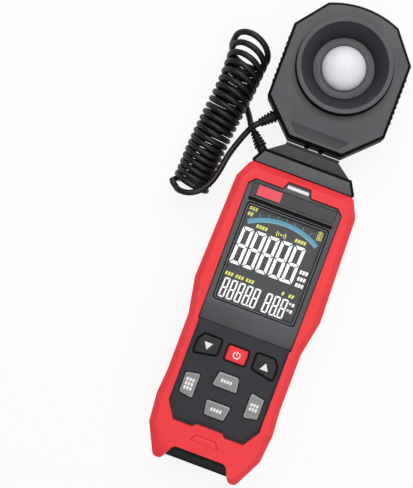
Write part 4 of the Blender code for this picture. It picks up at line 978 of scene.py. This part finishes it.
class LIGHTMETER_OT_display(MeterOperator):
    """Builds the bezel, the window, the label and the lit screen."""

    bl_idname = "light_meter.display"
    bl_label = "Display"

    def execute(self, context):
        edge = sizes().soft_edge * 0.7
        # The bezel's groove is painted black as shade.
        add_skin("display_bezel", "grey_plastic", "dark_grey_plastic", edge, ("black_and_painted_shade", self.in_groove))
        dress("display_lens", "window_clear")
        dress("label_plate", "label_plastic")
        dress("light_window", "dome_white")
        dress("lcd_module", "screen_ground")
        dress("lcd_backlight", "dome_white")
        self.add_label_block()
        self.add_edge_highlight()
        self.add_digits()
        self.add_arc()
        self.add_legends()
        self.add_units()
        return {"FINISHED"}

    def add_label_block(self):
        """A plain red block on the label plate."""
        indent, margin, width, thickness = 0.0027, 0.0005, 0.0112, 0.0002
        low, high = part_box("label_plate")
        block = bar(low[0] + indent, low[1] + margin, width, high[1] - low[1] - 2 * margin)
        mesh = flat_pieces("label_block", [block], high[2] - thickness / 2, thickness)
        add_piece("label_block", mesh, "label_red", "body")

    def add_marks(self, name, outlines, look, slot="white_diffuser"):
        """Lays flat marks on the screen."""
        mesh = flat_pieces(name, outlines, LCD_TOP + INK, INK)
        add_piece(name, mesh, look, "body")

    def in_groove(self, face):
        """The sunk line between the window and the label, painted black as shade."""
        foot, top, half = 0.0005, 0.0027, 0.0207
        x, rise, height = face.center - Vector((0, LENS_HIGH.y, LENS_HIGH.z))
        return foot < rise < top and abs(x) < half and height < 0.0001

    def level(self, rise):
        """The Y of a place on the screen, measured from the window's foot."""
        return LENS_LOW.y + rise

    def add_edge_highlight(self):
        """A painted highlight: a fine pale line along the window's edge, for light on its bevel."""
        corner, parts = 0.0018, 6
        low, high = LENS_LOW + Vector((corner, corner, 0)), LENS_HIGH - Vector((corner, corner, 0))
        middles = ((high.x, high.y), (low.x, high.y), (low.x, low.y), (high.x, low.y))
        rings = []
        for inset in (0.00075, 0.00050):
            radius = corner - inset
            ring = []
            for turn, (x, y) in enumerate(middles):
                for part in range(parts + 1):
                    angle = math.pi / 2 * (turn + part / parts)
                    ring.append((x + radius * math.cos(angle), y + radius * math.sin(angle)))
            rings.append(ring)
        mesh = band("window_highlight_band", *rings, LENS_HIGH.z - INK / 2, INK)
        add_piece("window_highlight_band", mesh, "window_edge_highlight", "body")

    def digit_outlines(self, height, width, stroke):
        """A leaning seven-segment 8 with its lower left corner at the origin."""
        lean, gap, half = 0.045, stroke * 0.14, height / 2
        left, right = stroke + gap, width - stroke - gap
        foot = [(gap * 2, 0), (width - gap * 2, 0), (right, stroke), (left, stroke)]
        waist = [(gap + stroke * 0.2, half), (left, half - stroke / 2), (right, half - stroke / 2)]
        waist += [(width - x, height - y) for x, y in waist]
        side = [(0, gap * 2), (stroke, gap * 2 + stroke), (stroke, half - gap - stroke / 2), (0, half - gap)]
        top, upper = ([(x, height - y) for x, y in reversed(spots)] for spots in (foot, side))
        others = [[(width - x, y) for x, y in reversed(spots)] for spots in (side, upper)]
        return [[(x + lean * y, y) for x, y in spots] for spots in (foot, waist, top, side, upper, *others)]

    def digit_row(self, name, corner, height, width, stroke, step, count):
        """A row of lit digits from its lower left corner."""
        outlines = self.digit_outlines(height, width, stroke)
        placed = [[(x + corner[0], y + corner[1]) for x, y in spots] for spots in outlines]
        first = flat_pieces(name, placed, LCD_TOP + INK, INK)
        mesh = grown(name, row_tree(), first, "screen_digit", Count=count, Step=(step, 0, 0))
        add_piece(name, mesh, "screen_digit", "body")

    def add_digits(self):
        """Five large digits, a lower row of five and three small ones, and their points."""
        own = sizes()
        large, small = self.level(0.0178), self.level(0.0013)
        large_width, large_stroke, large_point = 0.0054, 0.00145, 0.0011
        small_width, small_stroke, small_point = 0.0029, 0.00075, 0.0007
        large_digit = (own.digit_height, large_width, large_stroke, own.digit_step)
        small_digit = (own.small_digit_height, small_width, small_stroke, own.small_digit_step)
        self.digit_row("screen_large_digits", (-0.0187, large), *large_digit, 5)
        self.digit_row("screen_left_digits", (-0.0181, small), *small_digit, 5)
        self.digit_row("screen_right_digits", (0.0030, small), *small_digit, 3)
        points = [bar(0.0062, large, large_point, large_point)]
        points += [bar(x, small, small_point, small_point) for x in (-0.0037, 0.0098)]
        self.add_marks("screen_points", points, "screen_digit")

    def add_arc(self):
        """The curved bar graph with its pale inner line and its ticks."""
        own = sizes()
        centre = self.level(0.0441) - own.arc_radius
        inner = own.arc_radius - own.arc_width
        reach, line = math.radians(31.5), 0.0003
        start, end = math.pi / 2 - reach, math.pi / 2 + reach
        bands = (("screen_arc", inner, own.arc_radius), ("screen_arc_line", inner - line, inner))
        for name, low, high in bands:
            self.add_marks(name, [arc_band(0, centre, low, high, start, end, 32)], name, "display_glass")
        tick_half, tick_length = 0.00017, 0.0013
        outline = bar(-tick_half, line, tick_half * 2, tick_length)
        tick = flat_pieces("tick", [outline], LCD_TOP + INK, INK)
        margin = (end - start) / (2 * own.arc_ticks)
        span = {"Start": start + margin, "Sweep": end - start - 2 * margin}
        sizing = {"Radius": own.arc_radius, "Count": own.arc_ticks}
        mesh = grown("screen_ticks", tick_tree(), tick, "screen_arc", **sizing, **span)
        mesh.transform(Matrix.Translation((0, centre, 0)))
        add_piece("screen_ticks", mesh, "screen_arc", "body")

    def add_legends(self):
        """Small plain marks where a meter shows its modes."""
        spots = [
            (-0.0183, 0.0448, 0.0046), (-0.0183, 0.0420, 0.0040),
            (-0.0124, 0.0378, 0.0056), (0.0066, 0.0378, 0.0060),
            (-0.0185, 0.0127, 0.0042), (-0.0134, 0.0127, 0.0042), (-0.0083, 0.0127, 0.0042),
            (0.0094, 0.0127, 0.0026), (0.0128, 0.0127, 0.0036),
        ]
        high, drop = 0.0017, 0.0008
        marks = []
        for x, rise, width in spots:
            marks += dashes(x, self.level(rise) - drop, int(width / DASH_STEP), high)
        self.add_marks("screen_legends", marks + self.buzzer_mark() + self.battery_mark(), "screen_legend")

    def add_units(self):
        """Plain marks where a meter shows its units."""
        lean, left = 0.08, 0.0138
        hole, rim = 0.00025, 0.00055
        units = []
        for rise in (0.0240, 0.0208, 0.0178):
            y = self.level(rise)
            units += [bar(left + part * DASH_STEP, y, 0.0010, 0.0018, lean) for part in range(3)]
        for rise in (0.0094, 0.0062):
            y = self.level(rise)
            units.append(arc_band(left + 0.0010, y, hole, rim, 0, 2 * math.pi * 0.999, 16))
            units.append(bar(left + 0.0019, y - 0.0010, 0.0012, 0.0015, lean))
        self.add_marks("screen_units", units, "screen_digit")

    def buzzer_mark(self):
        """A dot between two pairs of sound arcs."""
        x, y = -0.0002, self.level(0.0378)
        half_line, reach = 0.0002, 0.6
        marks = [ring_outline(x, y, 0.0005, 12)]
        for radius in (0.0013, 0.0022):
            low, high = radius - half_line, radius + half_line
            marks += [arc_band(x, y, low, high, way - reach, way + reach, 8) for way in (0, math.pi)]
        return marks

    def battery_mark(self):
        """An upright battery with three bars."""
        x, y = 0.0156, self.level(0.0415)
        wide, high, line = 0.0024, 0.0040, 0.0003
        marks = [
            bar(x, y, line, high), bar(x + wide - line, y, line, high),
            bar(x + line, y, wide - 2 * line, line), bar(x + line, y + high - line, wide - 2 * line, line),
            bar(x + wide * 0.3, y + high, wide * 0.4, line),
        ]
        level, step = 0.0007, 0.0011
        return marks + [bar(x + line * 2, y + line * 2 + i * step, wide - 4 * line, level) for i in range(3)]


class LIGHTMETER_OT_keys(MeterOperator):
    """Rounds the keys, prints plain marks on them and lays a black band of painted shade round each, for its
    gap.
    """

    bl_idname = "light_meter.keys"
    bl_label = "Keys"

    def execute(self, context):
        edge = sizes().soft_edge
        coloured = {
            "power_key": ("bumper_red", "red_rubber"),
            "down_key": ("key_black", "black_key"),
            "up_key": ("key_black", "black_key"),
        }
        # Painted highlight: the grey keys' sloped rims are painted paler.
        rim = ("key_rim_highlight", lambda face: 0.2 < face.normal.z < 0.97)
        for node in KEYS:
            look, slot = coloured.get(node, ("key_grey", "grey_key"))
            painted = () if node in coloured else (rim,)
            add_skin(node, look, slot, edge, *painted, name=node + "_cap", segments=3)
            mesh = flat_pieces(node + "_mark", self.marks(node), KEY_TOP - INK / 2, INK)
            add_piece(node + "_mark", mesh, "key_mark", BODY_OF[node])
            # The band of painted shade is narrower round the grey keys.
            self.add_gap_shade(node, sizes().key_gap_shade * (1 if node in coloured else 0.3))
        return {"FINISHED"}

    def marks(self, node):
        """Arrows, the power sign, or plain bars in rows."""
        x, y = middle(node)
        if node == "power_key":
            gap, inner, outer = 0.55, 0.00128, 0.00178
            ring = arc_band(x, y, inner, outer, math.pi / 2 + gap, 2.5 * math.pi - gap, 28)
            line, length = outer - inner, 0.0020
            return [ring, bar(x - line / 2, y - length / 10, line, length)]
        if node in ("down_key", "up_key"):
            way = -1 if node == "down_key" else 1
            half, foot, tip = 0.0020, y - way * 0.0016, y + way * 0.0018
            points = [(x - half, foot), (x + half, foot), (x, tip)]
            return [points if way > 0 else list(reversed(points))]
        rows = {"hold_key": 1, "mode_key": 1, "max_min_key": 3, "unit_key": 2}[node]
        count = 4 if rows == 1 else 3
        high = 0.0015
        marks = []
        for row in range(rows):
            foot = y + (rows / 2 - row) * high * 1.35 - high * 1.15
            marks += dashes(x - count * DASH_STEP / 2, foot, count, high)
        return marks

    def add_gap_shade(self, node, width):
        """A thin black frame of painted shade on the keypad floor, just outside the key's hole, where the
        gap is in shade.
        """
        outline = self.cap_outline(node)
        gap = 0.0004
        inner, outer = self.grow(outline, gap), self.grow(outline, gap + width)
        mesh = band(node + "_gap_shade", inner, outer, FACE - INK / 2, INK * 1.5)
        add_piece(node + "_gap_shade", mesh, "black_and_painted_shade", "body")

    def cap_outline(self, node):
        """The key's outline at half its height above the face, in order round its middle."""
        level = KEY_TOP - 0.0004
        spots = [v.co for v in frame["nodes"][node].data.vertices if abs(v.co.z - level) < NEAR]
        x, y = middle(node)
        ordered = {}
        for spot in spots:
            angle = round(math.atan2(spot.y - y, spot.x - x), 3)
            ordered[angle] = (spot.x, spot.y)
        return [ordered[angle] for angle in sorted(ordered)]

    def grow(self, outline, distance):
        """An outline moved outwards."""
        result = []
        count = len(outline)
        for index in range(count):
            here = Vector(outline[index])
            first = (here - Vector(outline[index - 1])).normalized()
            second = (Vector(outline[(index + 1) % count]) - here).normalized()
            normal = Vector((first.y + second.y, -first.x - second.x)).normalized()
            squareness = normal.dot(Vector((second.y, -second.x)))
            result.append(tuple(here + normal * distance / max(0.5, squareness)))
        return result


class LIGHTMETER_OT_head(MeterOperator):
    """Finishes the sensor head: face, back, thumb ramp, side grips and tongue."""

    bl_idname = "light_meter.head"
    bl_label = "Sensor head"

    def execute(self, context):
        edge = sizes().soft_edge
        item = copied_solid("head_front_shell")
        ramp = self.ramp_cutter()
        cut = item.modifiers.new("Thumb ramp", "BOOLEAN")
        cut.operation = "DIFFERENCE"
        cut.solver = "EXACT"
        cut.object = ramp
        round_edges(item, edge)
        mesh = shade(evaluated_mesh(item, "head_face"), 25)
        bpy.data.objects.remove(ramp)
        # Painted shade: the funnel and the ramp's floor are darker, the rim, the ring's outer wall and the
        # ramp's step black.
        funnel, ramp_floor = ("funnel_shade", self.in_funnel), ("ramp_shade", self.in_ramp)
        coat(mesh, "grey_plastic", funnel, ("black_and_painted_shade", self.on_edge), ramp_floor)
        add_piece("head_face", mesh, "grey_plastic", "head", ("head_front_shell",))
        add_skin("head_rear_shell", "black_and_painted_shade", "black_plastic", edge, name="head_back")
        add_skin("dock_tongue", "black_and_painted_shade", "black_plastic", edge, name="head_tongue")
        self.add_grips()
        return {"FINISHED"}

    def ramp_cutter(self):
        """A wedge that sinks the face towards its foot."""
        foot, top = HEAD_LOW.y + 0.0025, HEAD_LOW.y + 0.0072
        foot_half, top_half, depth = 0.0105, 0.0147, 0.0010
        outline = [(-foot_half, foot), (foot_half, foot), (top_half, top), (-top_half, top)]
        mesh = flat_pieces("thumb_ramp", [outline], HEAD_FACE - depth, depth * 2)
        for vertex in mesh.vertices:
            if vertex.co.z < HEAD_FACE and vertex.co.y > (foot + top) / 2:
                vertex.co.z = HEAD_FACE - depth * 0.05
        return linked("thumb_ramp", mesh)

    def from_dome(self, face):
        """A face's distance from the dome's axis."""
        return math.hypot(face.center.x - DOME_CENTRE.x, face.center.y - DOME_CENTRE.y)

    def in_funnel(self, face):
        """The steep slope inside the raised ring, painted darker than the face as shade."""
        return self.from_dome(face) < RING_INSIDE and face.normal.z < 0.97 and face.center.z < HEAD_HIGH.z

    def on_edge(self, face):
        """The outer rim, the ring's outer wall and the ramp's step, painted black as shade."""
        return self.from_dome(face) > RING_OUTSIDE and face.normal.z < 0.9 and not self.in_ramp(face)

    def in_ramp(self, face):
        """The sunk slope at the head's foot, painted darker as shade."""
        rise = face.center.y - HEAD_LOW.y
        return abs(face.center.x) < 0.0150 and 0.0024 < rise < 0.0074 and 0.7 < face.normal.z < 0.998

    def add_grips(self):
        """Shallow upright ribs along both sides of the head."""
        radius, step, count = 0.0009, 0.00265, 9
        first, foot, height = HEAD_LOW.y + 0.0225, HEAD_LOW.z + 0.0006, 0.0106
        for name, side in (("head_grip_left", -1), ("head_grip_right", 1)):
            x = side * (HEAD_HIGH.x - radius * 0.62)
            rib = flat_pieces("rib", [ring_outline(x, first, radius, 16)], foot, height)
            mesh = shade(grown(name, row_tree(), rib, "black_and_painted_shade", Count=count, Step=(0, step, 0)))
            add_piece(name, mesh, "black_and_painted_shade", "head")


class LIGHTMETER_OT_sensor(MeterOperator):
    """Finishes the dome, its ring and the sensor under it."""

    bl_idname = "light_meter.sensor"
    bl_label = "Sensor"

    def execute(self, context):
        self.add_dome()
        add_skin("retaining_ring", "grey_plastic", "dark_grey_plastic", sizes().soft_edge, name="dome_ring")
        dress("colour_filter", "filter_green")
        dress("photodiode", "black_and_painted_shade")
        dress("sensor_pcb", "circuit_green")
        return {"FINISHED"}

    def add_dome(self):
        """A fine turned dome over the solid's own wall."""
        wall, skirt, steps = 0.0016, 0.0017, 20
        radius = (DOME_HIGH.x - DOME_LOW.x) / 2
        inner = radius - wall
        shoulder = DOME_LOW.z + skirt
        rise = DOME_HIGH.z - shoulder
        quarter = [math.pi / 2 * i / steps for i in range(steps + 1)]
        profile = [(radius * math.sin(a), shoulder + rise * math.cos(a)) for a in quarter]
        profile += [(radius, DOME_LOW.z), (inner, DOME_LOW.z)]
        profile += [(inner * math.sin(a), shoulder + (rise - wall) * math.cos(a)) for a in reversed(quarter)]
        work = bmesh.new()
        spots = [work.verts.new((r, 0, z)) for r, z in profile]
        edges = [work.edges.new((a, b)) for a, b in zip(spots, spots[1:], strict=False)]
        bmesh.ops.spin(
            work, geom=spots + edges, cent=(0, 0, 0), axis=(0, 0, 1),
            angle=2 * math.pi, steps=72, use_merge=True,
        )
        bmesh.ops.remove_doubles(work, verts=work.verts, dist=WELD)
        mesh = closed_mesh("dome_skin", work)
        mesh.transform(Matrix.Translation((DOME_CENTRE.x, DOME_CENTRE.y, 0)))
        add_piece("dome_skin", shade(mesh, 40), "dome_white", "head", ("diffuser_dome",))


class LIGHTMETER_OT_boots(MeterOperator):
    """Builds the two ribbed boots that the cord comes out of."""

    bl_idname = "light_meter.boots"
    bl_label = "Cord boots"

    def execute(self, context):
        shares = {"body_strain_relief": (0.56, 0.5), "head_strain_relief": (0.80, 0.66)}
        for node, way in boot_ways().items():
            self.add_boot(node, way, *shares[node])
        return {"FINISHED"}

    def add_boot(self, node, way, core_share, rib_share):
        """A boot whose core and ribs take these shares of its radius and of the ribs' step."""
        length, shank, shank_radius = 0.0130, 0.005, 0.0024
        base, tip = 0.0030, 0.0021
        rounding = 0.00016
        ribs = sizes().boot_ribs
        step = (length - shank) / ribs
        cones = ((0, shank, shank_radius, shank_radius), (shank, length, base * core_share, tip * 0.80))
        work = bmesh.new()
        for bottom, top, low, high in cones:
            made = bmesh.ops.create_cone(
                work, cap_ends=True, segments=32, radius1=low, radius2=high, depth=top - bottom
            )
            bmesh.ops.translate(work, verts=made["verts"], vec=(0, 0, (top + bottom) / 2))
        name = node + "_skin"
        mesh = grown(
            name, boot_tree(), closed_mesh(node + "_core", work), "boot_rubber",
            Ribs=ribs, First_rib=(0, 0, shank + step * 0.66), Step=(0, 0, step),
            Base_radius=base, Rib_height=step * rib_share, Shrink=(1 - tip / base) / (ribs - 1),
        )
        turn = way.to_track_quat("Z", "Y").to_matrix().to_4x4()
        mesh.transform(Matrix.Translation(boot_tip(node, way) - way * length) @ turn)
        add_piece(name, rounded(name, mesh, rounding), "boot_rubber", BODY_OF[node], (node,))


class LIGHTMETER_OT_screws(MeterOperator):
    """Puts cross-recess heads on the screws of the case and the head."""

    bl_idname = "light_meter.screws"
    bl_label = "Screws"

    def execute(self, context):
        tree = screw_tree()
        radius, height, seat = 0.00235, 0.0012, 0.0005
        long, wide, deep = 0.0030, 0.0006, 0.0014
        for group, body in (("case_screw", "body"), ("head_screw", "head")):
            nodes = [f"{group}_{number}" for number in range(1, 5)]
            for node in nodes:
                dress(node, "steel")
            points = bpy.data.meshes.new(group + "_points")
            points.from_pydata([(*middle(node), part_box(node)[0][2] + seat) for node in nodes], [], [])
            recess = {"Recess": (wide, long, deep), "Recess_turned": (long, wide, deep)}
            mesh = grown(group + "_heads", tree, points, "steel", Radius=radius, Height=height, **recess)
            add_piece(group + "_heads", shade(mesh), "steel", body)
        return {"FINISHED"}


class LIGHTMETER_OT_inside(MeterOperator):
    """Finishes what lies inside the case."""

    bl_idname = "light_meter.inside"
    bl_label = "Inside"

    def execute(self, context):
        for side in ("left", "middle", "right"):
            dress(f"battery_cell_{side}", "sleeve")
        for side in ("lower", "upper"):
            dress(f"battery_contacts_{side}", "steel")
        for number in range(1, 5):
            dress(f"pcb_screw_{number}", "steel")
        dress("main_pcb", "circuit_green")
        dress("key_mat", "boot_rubber")
        return {"FINISHED"}


class LIGHTMETER_PT_pieces(bpy.types.Panel):
    """Lists the meter's pieces and settings."""

    bl_label = "Light Meter"
    bl_idname = "LIGHTMETER_PT_pieces"
    bl_space_type = "VIEW_3D"
    bl_region_type = "UI"
    bl_category = "Light Meter"

    def draw(self, context):
        for operator in OPERATORS:
            self.layout.operator(operator.bl_idname)
        for group in (settings().finishes, settings().sizes, settings().stage):
            box = self.layout.box()
            for name in group.bl_rna.properties.keys():
                if name not in ("rna_type", "name"):
                    box.prop(group, name)


OPERATORS = (
    LIGHTMETER_OT_stage,
    LIGHTMETER_OT_cord,
    LIGHTMETER_OT_bumper,
    LIGHTMETER_OT_case,
    LIGHTMETER_OT_display,
    LIGHTMETER_OT_keys,
    LIGHTMETER_OT_head,
    LIGHTMETER_OT_sensor,
    LIGHTMETER_OT_boots,
    LIGHTMETER_OT_screws,
    LIGHTMETER_OT_inside,
)
CLASSES = (MeterFinishes, MeterSizes, StageSettings, MeterSettings, *OPERATORS, LIGHTMETER_PT_pieces)


def register():
    for item in CLASSES:
        bpy.utils.register_class(item)
    bpy.types.Scene.light_meter = PointerProperty(type=MeterSettings)


def unregister():
    del bpy.types.Scene.light_meter
    for item in reversed(CLASSES):
        bpy.utils.unregister_class(item)


def main():
    register()
    bpy.ops.light_meter.stage()
    bpy.ops.light_meter.cord()
    bpy.ops.light_meter.bumper()
    bpy.ops.light_meter.case()
    bpy.ops.light_meter.display()
    bpy.ops.light_meter.keys()
    bpy.ops.light_meter.head()
    bpy.ops.light_meter.sensor()
    bpy.ops.light_meter.boots()
    bpy.ops.light_meter.screws()
    bpy.ops.light_meter.inside()


if __name__ == "__main__":
    main()
